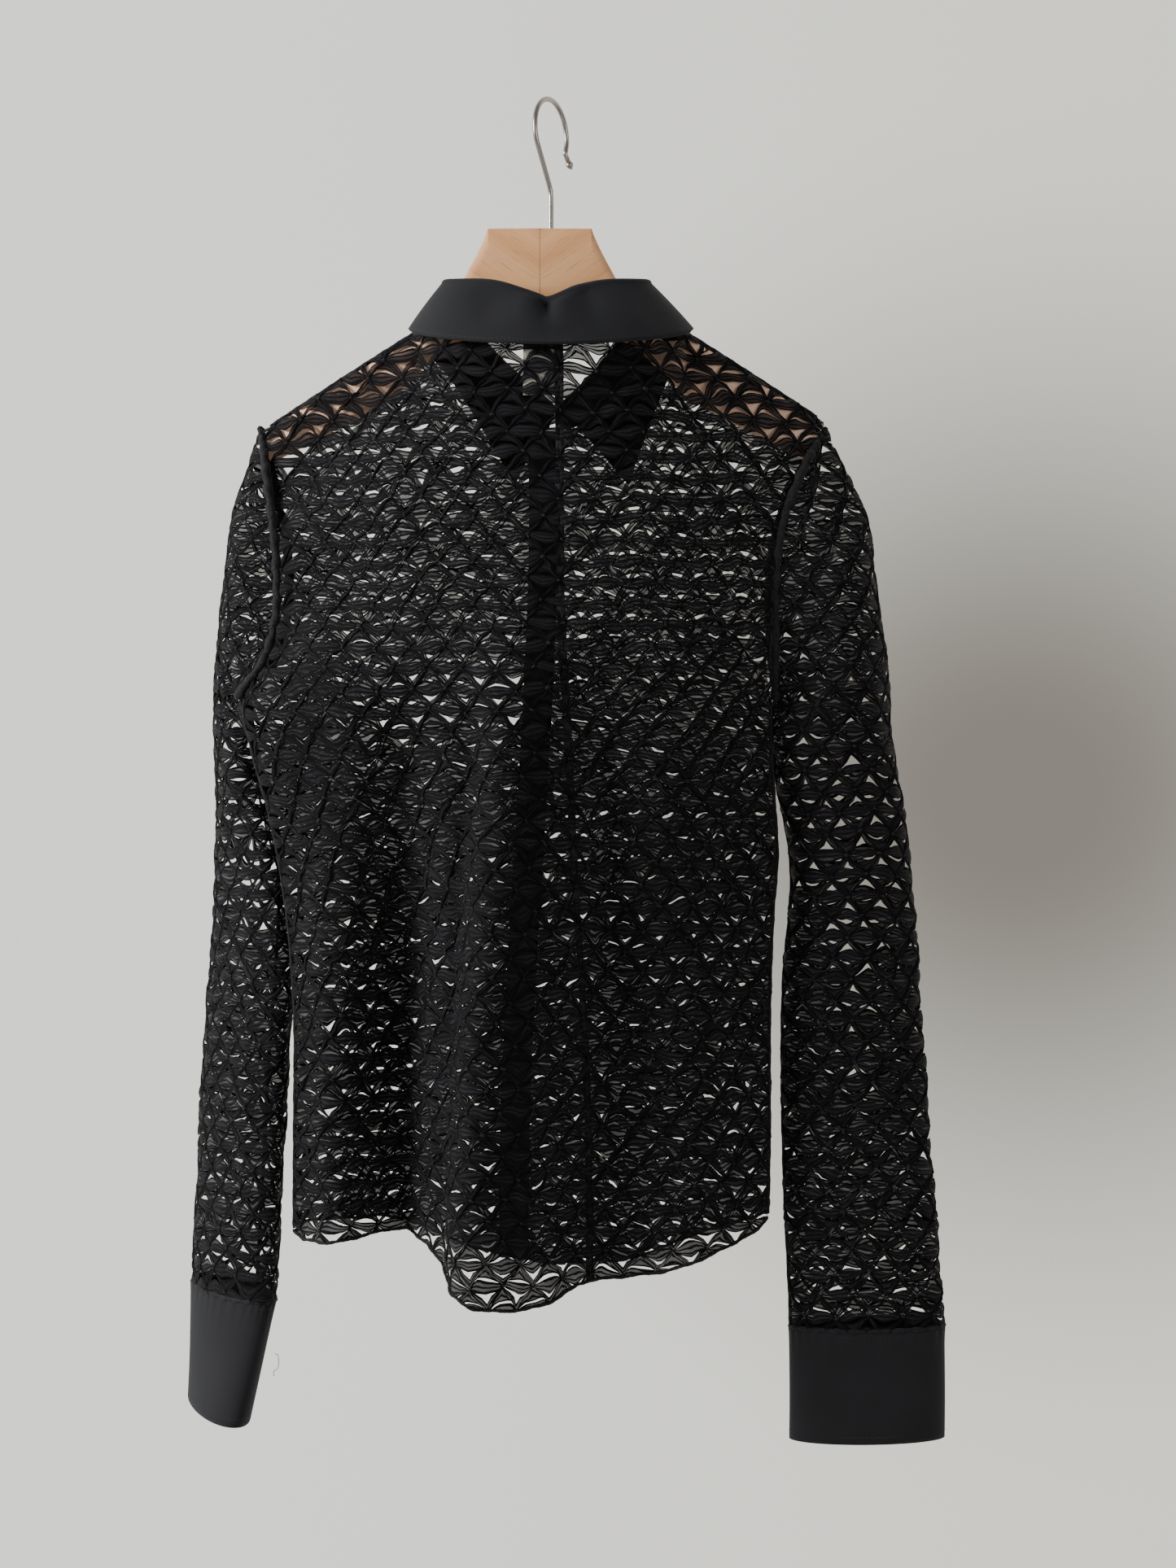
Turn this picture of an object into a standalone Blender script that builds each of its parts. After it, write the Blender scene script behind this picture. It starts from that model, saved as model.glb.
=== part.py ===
"""A black openwork organdy shirt, hung on a beech hanger with a steel hook.

The origin is the inner top of the hook. +Z is up, +Y is the wearer's front and +X the
wearer's right. Left and right below are those of someone who sees the back: left is -X.
Sizes in the tables are in millimetres, heights z fall from the origin.
"""

import math
from collections import namedtuple

import bmesh
import bpy
import numpy as np

MM = 0.001
LACE_WALL = 1.5
COTTON_WALL = 1.8
LABEL_WALL = 1.0
SEAM_GAP = 0.5
FINE = 240  # points that a row's curve is measured with
SIDE_STEPS = (0.7, 4.0, 10.0)  # lengths from a side edge to a panel's first columns

# The hook, a bent wire in a plane turned from the YZ plane
WIRE_RADIUS = 1.75
HOOK_RADIUS = 22.0
HOOK_TURN = math.radians(28)
HOOK_X = 0.0
HOOK_BALL = 2.6
STEM_DEPTH = 14.0

# The wooden hanger
BLOCK_TOP = -85.6
BLOCK_HALF = 35.0
BLOCK_FOOT = 52.0
BLOCK_FOOT_Z = -120.0
WOOD_HALF = 6.5
ARM_START = 84.0
ARM_REACH = 190.0
ARM_FORWARD = 28.0
TIP_START = 179.0
TIP_ROUND = 11.3
WOOD_X = -7.5
WOOD_CLEAR = 1.6

# The wood's lower edge, on either side of its middle
WoodFoot = namedtuple("WoodFoot", "far z")
WOOD_FEET = (
    WoodFoot(0, -155),
    WoodFoot(40, -157),
    WoodFoot(62, -162),
    WoodFoot(80, -179),
    WoodFoot(101, -199),
    WoodFoot(140, -219),
    WoodFoot(177, -236),
    WoodFoot(190, -242),
)

# Neck and shoulders
NECK_HALF = 93.0
NECK_Z = -155.0
SHOULDER_SLOPE = 0.595
BACK_NECK_DROP = 10.0
FRONT_NECK_DROP = 60.0
BACK_NECK_Y = -34.0
FRONT_NECK_Y = 46.0
UNDERARM_Z = -401.0
SHOULDER_Z = -214.0  # top of the armholes
FRONT_FOLD = math.radians(160)  # where the armhole turns under in front
LEFT_SEAT = math.radians(20)  # how far the left sleeve is twisted at its underarm
SHOULDER_START = 0.5  # from the shoulder line to a panel's edge

# Centre lines: (x at the top, x at the hem)
BACK_SEAM = (6.0, 27.0)
FRONT_LINE = (-6.0, -27.0)
BAND_WIDTH = 19.0
BAND_STEP = 2.4

# Collar: half widths and heights of its fold and its outer edge
COLLAR_END = math.radians(175)  # from the middle of the back to a front corner
COLLAR_BEND = 2.6
FOLD_HALF = 68.0
FOLD_Z = -119.0
BACK_FOLD_DROP = 6.0
FOLD_DIP = 9.0
FOLD_FALL = 80.0
FOLD_POWER = 0.7  # makes the fold fall in straight lines to the front
FRONT_SHIFT = 6.0  # the collar's opening stands to the right
EDGE_HALF = 96.0
EDGE_Z = -151.5
EDGE_DIP = 20.0
POINT_HALF = 42.0
POINT_SHIFT = 13.0  # the two points stand to the right of the middle
POINT_FALL = 92.0

# Cuffs
CUFF_TOPS = {-1: -812.0, 1: -832.0}
CUFF_HEIGHT = 76.0
CUFF_GAP = 0.3
CUFF_LAP = math.radians(24)
CUFF_START = math.radians(80)
CUFF_STEP = 2.6
CUFF_SWING = (-19.0, -6.0, -6.0)  # how far the left cuff's near end is turned in at its foot

# Buttons
BUTTON_RADIUS = 5.5
BUTTON_HALF = 1.2
BUTTON_HEIGHTS = (-228.0, -305.0, -382.0, -459.0, -536.0, -613.0, -690.0)

# Body: where the panels end at each side, and how far back and front stand from that line
Body = namedtuple("Body", "z left_x left_back left_front right_x right_back right_front back front")
BODY = (
    Body(-214, -199.0, 27, 29, 187.0, 27, 29, 62, 22),
    Body(-250, -192.0, 8, 45, 168.0, 7, 46, 48, 14),
    Body(-282, -186.0, -3, 55, 155.0, -2, 55, 42, 9),
    Body(-317, -182.0, -7, 56, 149.5, -4, 58, 42, 11),
    Body(-352, -182.5, -9, 40, 148.5, -1, 49, 47, 23),
    Body(-380, -190.5, -12, 14, 148.5, 5, 32, 52, 44),
    Body(-401, -204.0, -15, -15, 149.0, 12, 12, 54, 66),
    Body(-436, -200.0, -14, -14, 149.5, 12, 12, 54, 66),
    Body(-470, -191.0, -11, -11, 151.5, 11, 11, 53, 65),
    Body(-511, -182.5, -8, -8, 153.5, 10, 10, 51, 64),
    Body(-542, -178.0, -6, -6, 151.0, 9, 9, 49, 63),
    Body(-600, -173.0, -5, -5, 148.5, 8, 8, 46, 62),
    Body(-700, -172.5, -5, -5, 148.0, 8, 8, 43, 62),
    Body(-800, -173.0, -5, -5, 146.0, 8, 8, 41, 62),
)

# Folds: crest x at the top and hem, half widths left and right of it, depth, the heights
# between which it grows, and how far its crest leans sideways
Fold = namedtuple("Fold", "top_x hem_x left right depth start full lean")
BACK_FOLDS = (
    Fold(-150, -150, 24, 28, 9, -430, -640, 0),
    Fold(-92, -101, 40, 34, -34, -330, -640, 0),
    Fold(-30, -54, 19, 36, 23, -300, -640, -5),
    Fold(-10, -26, 46, 58, 30, -300, -640, -4),
    Fold(34, 40, 26, 36, -7, -340, -600, 0),
    Fold(84, 92, 34, 36, 7, -340, -600, 0),
)
FRONT_FOLDS = (
    Fold(-112, -104, 40, 38, 13, -380, -650, 0),
    Fold(56, 54, 36, 42, -13, -380, -650, 0),
    Fold(108, 106, 28, 28, 8, -380, -650, 0),
)

# Hem: heights of the back's and the front's lower edge; the back hangs lower in its near fold
Hem = namedtuple("Hem", "x back front")
HEM = (
    Hem(-180, -757, -757),
    Hem(-165, -765, -757),
    Hem(-150, -764, -758),
    Hem(-118, -761, -761),
    Hem(-96, -760, -768),
    Hem(-82, -766, -774),
    Hem(-72, -774, -778),
    Hem(-64, -789, -782),
    Hem(-50, -796, -787),
    Hem(-27, -800, -793),
    Hem(-5, -799, -797),
    Hem(6, -796, -797),
    Hem(18, -789, -797),
    Hem(50, -787, -792),
    Hem(75, -783, -784),
    Hem(100, -776, -775),
    Hem(120, -769, -767),
    Hem(136, -763, -758),
    Hem(150, -752, -750),
)

# Sleeves: centre, half sizes outward and forward, and the turn of the section in degrees
Sleeve = namedtuple("Sleeve", "z x y out fore turn")
LEFT_SLEEVE = (
    Sleeve(-214, -201, 28, 7, 18, 0),
    Sleeve(-240, -203, 30, 10, 30, 4),
    Sleeve(-275, -206, 33, 14, 38, 9),
    Sleeve(-317, -208, 38, 18, 42, 8),
    Sleeve(-360, -218, 48, 15, 41, 5),
    Sleeve(-401, -222, 56, 14, 41, 5),
    Sleeve(-440, -220, 60, 16, 42, 11),
    Sleeve(-480, -216, 62, 18, 45, 21),
    Sleeve(-540, -214, 60, 19, 49, 32),
    Sleeve(-600, -214, 55, 19, 51, 36),
    Sleeve(-720, -218, 49, 19, 51, 37),
    Sleeve(-822, -222, 44, 18, 50, 37),
)
RIGHT_SLEEVE = (
    Sleeve(-214, 189, 28, 7, 18, 0),
    Sleeve(-240, 192, 28, 16, 30, 0),
    Sleeve(-275, 192, 29, 24, 36, 0),
    Sleeve(-317, 191, 30, 31, 39, 0),
    Sleeve(-401, 195, 32, 41, 37, 0),
    Sleeve(-450, 199, 32, 42, 33, 0),
    Sleeve(-515, 206, 30, 41, 28, 0),
    Sleeve(-600, 206, 28, 47, 24, 2),
    Sleeve(-715, 210, 26, 51, 21, 3),
    Sleeve(-822, 216.5, 25, 53, 19, 3),
)

MATERIALS = {
    "lace": ((0.020, 0.020, 0.023, 1), 0.75, 0.0),
    "cotton": ((0.022, 0.022, 0.025, 1), 0.85, 0.0),
    "label": ((0.55, 0.53, 0.46, 1), 0.8, 0.0),
    "button": ((0.015, 0.015, 0.016, 1), 0.3, 0.0),
    "beech": ((0.60, 0.36, 0.20, 1), 0.45, 0.0),
    "steel": ((0.55, 0.53, 0.51, 1), 0.3, 1.0),
}


def smooth(start, end, value):
    """0 at start, 1 at end, with no corner at either."""
    t = np.clip((value - start) / (end - start), 0, 1)
    return t * t * (3 - 2 * t)


def column(rows, name, z):
    """A table's column at height z, smooth between its rows."""
    heights = np.array([-row.z for row in rows], float)
    values = np.array([getattr(row, name) for row in rows], float)
    slopes = np.gradient(values, heights)
    down = np.clip(-np.asarray(z, float), heights[0], heights[-1])
    i = np.clip(np.searchsorted(heights, down, side="right") - 1, 0, len(heights) - 2)
    step = heights[i + 1] - heights[i]
    t = (down - heights[i]) / step
    start, end = 2 * t**3 - 3 * t**2 + 1, 3 * t**2 - 2 * t**3
    leave, arrive = (t**3 - 2 * t**2 + t) * step, (t**3 - t**2) * step
    return start * values[i] + end * values[i + 1] + leave * slopes[i] + arrive * slopes[i + 1]


def ridge_y(x):
    """How far forward the hanger's arms, and the shoulder seams on them, are bent."""
    return ARM_FORWARD * (np.abs(x - WOOD_X) / ARM_REACH) ** 2


def shoulder_z(x):
    """Height of the shoulder seams."""
    return NECK_Z - SHOULDER_SLOPE * np.maximum(np.abs(x) - NECK_HALF, 0)


def neck_y(x, side):
    """Neckline of the back (side -1) or front (side 1), seen from above."""
    deep = BACK_NECK_Y if side < 0 else FRONT_NECK_Y
    end = ridge_y(NECK_HALF)
    return end + (deep - end) * np.sqrt(np.maximum(1 - (x / NECK_HALF) ** 2, 0))


def top_z(x, side):
    """Height of a panel's top edge: its shoulder seams and the neckline between them."""
    drop, power = (BACK_NECK_DROP, 0.8) if side < 0 else (FRONT_NECK_DROP, 1.15)
    inside = np.maximum(1 - (x / NECK_HALF) ** 2, 0)
    return shoulder_z(x) - drop * inside**power


def hem_z(x, side):
    """Height of the hem."""
    return np.interp(x, [row.x for row in HEM], [row.back if side < 0 else row.front for row in HEM])


def ends(z, side):
    """(left x, left y, right x, right y) of the back or front; below the arm they share them."""
    shared = [column(BODY, name, z) for name in ("left_x", "left_back", "right_x", "right_back")]
    if side < 0:
        return shared
    left_y, right_y = column(BODY, "left_front", z), column(BODY, "right_front", z)
    joined = np.asarray(z) < UNDERARM_Z
    shared[1] = np.where(joined, shared[1], left_y)
    shared[3] = np.where(joined, shared[3], right_y)
    return shared


def section(across, z, side):
    """A point of the back or front below its top edge, at the share across of its width."""
    left_x, left_y, right_x, right_y = ends(z, side)
    middle, half = (left_x + right_x) / 2, (right_x - left_x) / 2
    share = np.sin(across * math.pi / 2)
    x = middle + half * share
    roundness = 1.0 - 0.35 * smooth(-300, UNDERARM_Z, z)
    depth = column(BODY, "back" if side < 0 else "front", z)
    bulge = np.maximum(1 - share**2, 0) ** roundness
    y = left_y + (right_y - left_y) * (share + 1) / 2 + side * depth * bulge
    at_edge = smooth(0, 0.16, 1 - np.abs(share))
    shift = np.zeros_like(x)
    for fold in BACK_FOLDS if side < 0 else FRONT_FOLDS:
        grown = smooth(fold.start, fold.full, z)
        crest = fold.top_x + (fold.hem_x - fold.top_x) * smooth(fold.start, -800, z)
        reach = np.where(x < crest, fold.left, fold.right)
        bump = np.cos(math.pi / 2 * np.clip((x - crest) / reach, -1, 1)) ** 2 * grown * at_edge
        y = y + side * fold.depth * bump
        shift = shift + fold.lean * bump
    return x + shift, y


def body_row(depth, share, side):
    """A row's points: depth below the top edge, then share of the way down.

    The share is 0 at that depth, 1 at the underarm and 2 at the hem.
    """
    across = np.linspace(-1, 1, FINE)
    z = np.full(FINE, -300.0)
    round_over = WOOD_HALF + WOOD_CLEAR
    for _ in range(5):
        x, y = section(across, z, side)
        drop = np.where(
            depth < round_over * math.pi / 2,
            round_over * (1 - math.cos(min(depth / round_over, math.pi / 2))),
            depth - round_over * (math.pi / 2 - 1),
        )
        in_neck = 1 - smooth(NECK_HALF - 5, NECK_HALF + 1, np.abs(x))
        below = drop + (depth - drop) * in_neck
        start = top_z(x, side) - below
        z = start + (UNDERARM_Z - start) * min(share, 1.0)
        z = z + (hem_z(x, side) - UNDERARM_Z) * max(share - 1.0, 0.0)
    over = round_over * math.sin(min(depth / round_over, math.pi / 2))
    hung = ridge_y(x) + side * over
    hung = hung + (neck_y(x, side) - hung) * in_neck
    fallen = top_z(x, side) - z
    step = side * (y - hung) * smooth(0, 95, fallen - 4 * (1 - in_neck))
    step = np.where(step < 0, step * smooth(40, 75, fallen), step)
    y = hung + side * step
    return np.stack([x, y, z], axis=1)


def spaced(points, start, end, count):
    """count points at equal steps along a row's curve, closer where it rounds a side seam."""
    steps = np.linalg.norm(np.diff(points, axis=0), axis=1)
    along = np.concatenate([[0], np.cumsum(steps)])
    near = np.array(SIDE_STEPS)
    first = near if start is None else np.array([start])
    last = along[-1] - near[::-1] if end is None else np.array([end])
    even = np.linspace(first[-1], last[0], count - len(first) - len(last) + 2)
    at = np.concatenate([first[:-1], even, last[1:]])
    return np.stack([np.interp(at, along, points[:, k]) for k in range(3)], axis=1)


def length_to(points, line, side_step):
    """Length along a row's curve to a centre line, plus a step to its side."""
    steps = np.linalg.norm(np.diff(points, axis=0), axis=1)
    along = np.concatenate([[0], np.cumsum(steps)])
    z = points[FINE // 2, 2]
    x = line[0] + (line[1] - line[0]) * smooth(-250, -760, z)
    nearest = int(np.argmax(points[:, 0] > x))
    return along[nearest] + side_step


def row_plan():
    """Depths below the top edge over the hanger's rounding, then shares of the way down."""
    over = [(depth, 0.0) for depth in (SHOULDER_START, 4.0, 8.0, 12.3, 22.0, 36.0)]
    upper = [(36.0, share) for share in (0.22, 0.43, 0.63, 0.79, 0.91, 1.0)]
    return over + upper + [(36.0, share) for share in np.linspace(1, 2, 12)[1:]]


def panel(side, line, from_line, to_line, count):
    """Rows of a panel between two lengths measured from a centre line, None for a side edge."""
    rows = []
    for depth, share in row_plan():
        curve = body_row(depth, share, side)
        first = None if from_line is None else length_to(curve, line, from_line)
        last = None if to_line is None else length_to(curve, line, to_line)
        rows.append(spaced(curve, first, last, count))
    return rows


def outward(rows):
    """Unit normals of a grid of points, by its neighbours."""
    grid = np.array(rows)
    normal = np.cross(np.gradient(grid, axis=1), np.gradient(grid, axis=0))
    return normal / np.linalg.norm(normal, axis=2, keepdims=True)


def moved_out(rows, step, side):
    """A grid moved off the body, toward the back (side -1) or the front (side 1)."""
    normal = outward(rows)
    facing = np.sign(normal[..., 1:2] * side)
    return list(np.array(rows) + normal * facing * step)


def armhole(angle, hand):
    """A point of the armhole: 0 at the shoulder, half a turn at the underarm, front between."""
    z = SHOULDER_Z + (UNDERARM_Z - SHOULDER_Z) * (1 - math.cos(angle)) / 2
    left_x, left_y, right_x, right_y = ends(z, 1 if math.sin(angle) >= 0 else -1)
    x, y = (left_x, left_y) if hand < 0 else (right_x, right_y)
    under = (1 - math.cos(angle)) / 2
    behind = 3.0 * abs(math.sin(angle)) * under
    out = SEAM_GAP + 0.1 + 2.8 * under
    if math.sin(angle) > 0:
        out += 1.5 * math.exp(-(((angle - FRONT_FOLD) / 0.3) ** 2))
    return np.array([x + hand * out, y + behind, z])


def sleeve_ring(rows, angle, z, hand):
    """A point of a sleeve's section at height z."""
    turn = math.radians(float(column(rows, "turn", z)))
    under = (1 - math.cos(angle)) / 2
    seat = LEFT_SEAT if hand < 0 else 0.0
    turned = angle + seat * under * (1 - float(smooth(-430, -600, z)))
    out = hand * float(column(rows, "out", z)) * math.cos(turned)
    fore = float(column(rows, "fore", z)) * math.sin(turned)
    x = float(column(rows, "x", z)) + out * math.cos(turn) - fore * math.sin(turn)
    y = float(column(rows, "y", z)) + out * math.sin(turn) + fore * math.cos(turn)
    return np.array([x, y, z])


def sleeve_point(rows, angle, share, hand):
    """A point of a sleeve, from the armhole (share 0) to the cuff seam (share 1)."""
    start = armhole(angle, hand)
    z = start[2] + (CUFF_TOPS[hand] - start[2]) * share
    under = (1 - math.cos(angle)) / 2
    ring = sleeve_ring(rows, angle, z, hand)
    reaches = (60.0 - 42.0 * under, 60.0 + 30.0 * under)
    point = [0.0, 0.0, z]
    for axis, reach in enumerate(reaches):
        weight = min((start[2] - z) / reach, 1.0) ** 0.6
        weight += (float(smooth(0, 1, weight)) - weight) * under
        point[axis] = start[axis] + (ring[axis] - start[axis]) * weight
    return np.array(point)


def new_object(name, mesh, material, collection):
    """Link a mesh as a named object with a plain material of its own."""
    item = bpy.data.objects.new(name, mesh)
    collection.objects.link(item)
    colour, roughness, metallic = MATERIALS[material]
    look = bpy.data.materials.new(name)
    look.use_nodes = True
    surface = look.node_tree.nodes["Principled BSDF"]
    surface.inputs["Base Color"].default_value = colour
    surface.inputs["Roughness"].default_value = roughness
    surface.inputs["Metallic"].default_value = metallic
    item.data.materials.append(look)
    return item


def grid_mesh(name, rows, closed=False):
    """A mesh of a grid of points, closed round its columns for a tube."""
    mesh = bmesh.new()
    verts = [[mesh.verts.new(point * MM) for point in row] for row in rows]
    columns = len(verts[0])
    for upper, lower in zip(verts, verts[1:]):
        for k in range(columns if closed else columns - 1):
            after = (k + 1) % columns
            mesh.faces.new((upper[k], upper[after], lower[after], lower[k]))
    bmesh.ops.recalc_face_normals(mesh, faces=mesh.faces)
    data = bpy.data.meshes.new(name)
    mesh.to_mesh(data)
    mesh.free()
    data.shade_smooth()
    return data


def cloth(name, rows, wall, material, collection, closed=False):
    """A wall of cloth through a grid of points."""
    item = new_object(name, grid_mesh(name, rows, closed), material, collection)
    thick = item.modifiers.new("Wall", "SOLIDIFY")
    thick.thickness = wall * MM
    thick.offset = 0
    return item


def build_panels(collection):
    gap, half = SEAM_GAP / 2, BAND_WIDTH / 2
    for name, side, line, first, last, count in (
        ("back_left", -1, BACK_SEAM, None, -gap, 19),
        ("back_right", -1, BACK_SEAM, gap, None, 11),
        ("front_left", 1, FRONT_LINE, None, -half - gap, 11),
        ("front_right", 1, FRONT_LINE, half + gap, None, 12),
    ):
        cloth(name, panel(side, line, first, last, count), LACE_WALL, "lace", collection)


def build_bands(collection):
    half = BAND_WIDTH / 2 - SEAM_GAP / 2
    rows = panel(1, FRONT_LINE, -half, half, 4)
    cloth("band_under", rows, COTTON_WALL, "cotton", collection)
    over = moved_out(rows, BAND_STEP, 1)
    cloth("band_over", over, COTTON_WALL, "cotton", collection)
    return over


def build_sleeves(collection):
    for name, rows, hand in (
        ("sleeve_left", LEFT_SLEEVE, -1),
        ("sleeve_right", RIGHT_SLEEVE, 1),
    ):
        angles = [2 * math.pi * k / 24 for k in range(24)]
        shares = [0, 0.012, 0.03, 0.06] + list(np.linspace(0.1, 1, 13))
        grid = [[sleeve_point(rows, angle, share, hand) for angle in angles] for share in shares]
        cloth(name, grid, LACE_WALL, "lace", collection, closed=True)


def cuff_point(rows, angle, drop, hand, step):
    """A point of a cuff's wall, step outside the sleeve's last section."""
    top = CUFF_TOPS[hand]
    point = sleeve_ring(rows, angle, top, hand)
    centre = np.array([column(rows, "x", top), column(rows, "y", top), top])
    away = point - centre
    point = point + away / np.linalg.norm(away) * step
    point[2] = top - drop
    if hand < 0:
        near = (1 - math.sin(angle)) / 2
        point += np.array(CUFF_SWING) * near * drop / CUFF_HEIGHT
    return point


def build_cuffs(collection):
    last = CUFF_START + 2 * math.pi + CUFF_LAP
    for name, rows, hand in (
        ("cuff_left", LEFT_SLEEVE, -1),
        ("cuff_right", RIGHT_SLEEVE, 1),
    ):
        grid = []
        for drop in np.linspace(CUFF_GAP, CUFF_HEIGHT, 4):
            angles = np.linspace(CUFF_START, last, 32)
            steps = CUFF_STEP * smooth(last - CUFF_LAP - 0.6, last - CUFF_LAP - 0.05, angles)
            grid.append([cuff_point(rows, a, drop, hand, s) for a, s in zip(angles, steps)])
        cloth(name, grid, COTTON_WALL, "cotton", collection)
        seat = cuff_point(rows, last - 0.16, CUFF_HEIGHT / 2, hand, CUFF_STEP)
        ahead = cuff_point(rows, last - 0.15, CUFF_HEIGHT / 2, hand, CUFF_STEP) - seat
        facing = np.array([ahead[1], -ahead[0], 0.0])
        facing = facing / np.linalg.norm(facing) * np.sign(facing[1])
        lift = COTTON_WALL / 2 + SEAM_GAP + BUTTON_HALF
        build_button(f"button_{name}", seat + facing * lift, facing, collection)


def build_button(name, centre, facing, collection):
    """A round button with a rim, turned from its half profile."""
    profile = (
        (0.0, -BUTTON_HALF),
        (BUTTON_RADIUS - 0.6, -BUTTON_HALF),
        (BUTTON_RADIUS, -BUTTON_HALF + 0.6),
        (BUTTON_RADIUS, BUTTON_HALF - 0.4),
        (BUTTON_RADIUS - 0.4, BUTTON_HALF),
        (BUTTON_RADIUS - 1.4, BUTTON_HALF),
        (BUTTON_RADIUS - 2.0, BUTTON_HALF - 0.5),
        (0.0, BUTTON_HALF - 0.5),
    )
    mesh = bmesh.new()
    verts = [mesh.verts.new((r * MM, 0, z * MM)) for r, z in profile]
    for a, b in zip(verts, verts[1:]):
        mesh.edges.new((a, b))
    bmesh.ops.spin(
        mesh, geom=mesh.verts[:] + mesh.edges[:], cent=(0, 0, 0), axis=(0, 0, 1),
        angle=2 * math.pi, steps=12, use_merge=True,
    )
    bmesh.ops.remove_doubles(mesh, verts=mesh.verts, dist=1e-6)
    bmesh.ops.recalc_face_normals(mesh, faces=mesh.faces)
    data = bpy.data.meshes.new(name)
    mesh.to_mesh(data)
    mesh.free()
    item = new_object(name, data, "button", collection)
    item.location = centre * MM
    turn = math.atan2(facing[1], facing[0])
    tilt = math.acos(max(-1.0, min(1.0, facing[2])))
    item.rotation_euler = (0, tilt, turn)


def build_front_buttons(over, collection):
    """Buttons along the middle of the upper band, each square to the cloth under it."""
    grid = np.array(over)
    middle = (grid[:, 1] + grid[:, 2]) / 2
    normal = outward(over)
    normal = (normal[:, 1] + normal[:, 2]) / 2
    normal = normal * np.sign(normal[:, 1:2])
    heights = -middle[:, 2]
    lift = COTTON_WALL / 2 + SEAM_GAP + 0.4 + BUTTON_HALF
    for number, z in enumerate(BUTTON_HEIGHTS, 1):
        seat = np.array([np.interp(-z, heights, middle[:, k]) for k in range(3)])
        facing = np.array([np.interp(-z, heights, normal[:, k]) for k in range(3)])
        facing = facing / np.linalg.norm(facing)
        build_button(f"button_{number}", seat + facing * lift, facing, collection)


def collar_lines(angle):
    """(neckline, fold, outer edge) of the collar, angle 0 at the middle of the back."""
    back = max(math.cos(angle), 0.0)
    front = max(-math.cos(angle), 0.0)
    side = -1 if math.cos(angle) >= 0 else 1
    x = NECK_HALF * math.sin(angle)
    neck = np.array([x, neck_y(x, side), top_z(x, side) + SEAM_GAP + 0.65])
    fold_x = FOLD_HALF * math.sin(angle) - 3.0
    fold_z = FOLD_Z - (BACK_FOLD_DROP + FOLD_DIP * math.exp(-((fold_x / 24.0) ** 2))) * back
    if front > 0:
        fold_z -= FOLD_FALL * (1 - abs(math.sin(angle))) ** FOLD_POWER
    fold = np.array([fold_x + FRONT_SHIFT * front**2, 4.0 - 31.0 * back + 40.0 * front, fold_z])
    edge = np.array([EDGE_HALF * math.sin(angle), 5.0 - 50.0 * back, EDGE_Z - EDGE_DIP * back])
    if front > 0:
        share = (abs(angle) - math.pi / 2) / (COLLAR_END - math.pi / 2)
        edge[0] = math.copysign(EDGE_HALF - (EDGE_HALF - POINT_HALF) * share, angle) + POINT_SHIFT * share
        edge[1] = 5.0 + 66.0 * math.sin(share * math.pi / 2)
        edge[2] = EDGE_Z - POINT_FALL * share**1.25
    return neck, fold, edge


def build_collar(collection):
    """Stand up from the neckline, over the fold and down: one folded wall, open in front."""
    across = []
    for angle in np.linspace(-COLLAR_END, COLLAR_END, 43):
        neck, fold, edge = collar_lines(angle)
        away = edge - fold
        away[2] = 0.0
        away = away / np.linalg.norm(away)
        inner, outer = fold - away * COLLAR_BEND, fold + away * COLLAR_BEND
        inner[2] -= COLLAR_BEND
        outer[2] -= COLLAR_BEND
        down = [inner + (neck - inner) * share for share in (1.0, 0.66, 0.33, 0.0)]
        out = [outer + (edge - outer) * share for share in (0.0, 0.25, 0.5, 0.75, 1.0)]
        bow = [0.0, 1.5, 1.8, 1.0, 0.0]
        out = [point + away * step for point, step in zip(out, bow)]
        across.append(down + [fold] + out)
    rows = [list(row) for row in zip(*across)]
    cloth("collar", rows, COTTON_WALL, "cotton", collection)


def build_label(collection):
    """A blank label that hangs inside the back, under the collar."""
    rows = []
    for depth in np.linspace(3.0, 38.0, 5):
        curve = body_row(depth, 0.0, -1)
        at = np.linspace(-18.0, 8.0, 5)
        row = np.stack([np.interp(at, curve[:, 0], curve[:, k]) for k in range(3)], axis=1)
        row[:, 1] += LACE_WALL / 2 + SEAM_GAP + LABEL_WALL / 2
        rows.append(row)
    cloth("neck_label", rows, LABEL_WALL, "label", collection)


def wood_section(x):
    """(top, bottom, half thickness) of the wooden hanger at x from its middle."""
    far = abs(x)
    if far <= BLOCK_HALF:
        top = BLOCK_TOP
    elif far <= BLOCK_FOOT:
        share = (far - BLOCK_HALF) / (BLOCK_FOOT - BLOCK_HALF)
        top = BLOCK_TOP + (BLOCK_FOOT_Z - BLOCK_TOP) * share ** 0.85
    else:
        share = min((far - BLOCK_FOOT) / (ARM_START - BLOCK_FOOT), 1.0)
        foot = float(shoulder_z(x + WOOD_X)) - WOOD_CLEAR
        foot -= 3.5 * (1 - float(smooth(ARM_START, ARM_START + 28, far)))
        top = BLOCK_FOOT_Z + (foot - BLOCK_FOOT_Z) * share**0.75
    bottom = float(np.interp(far, [row.far for row in WOOD_FEET], [row.z for row in WOOD_FEET]))
    return top, bottom, WOOD_HALF


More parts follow.
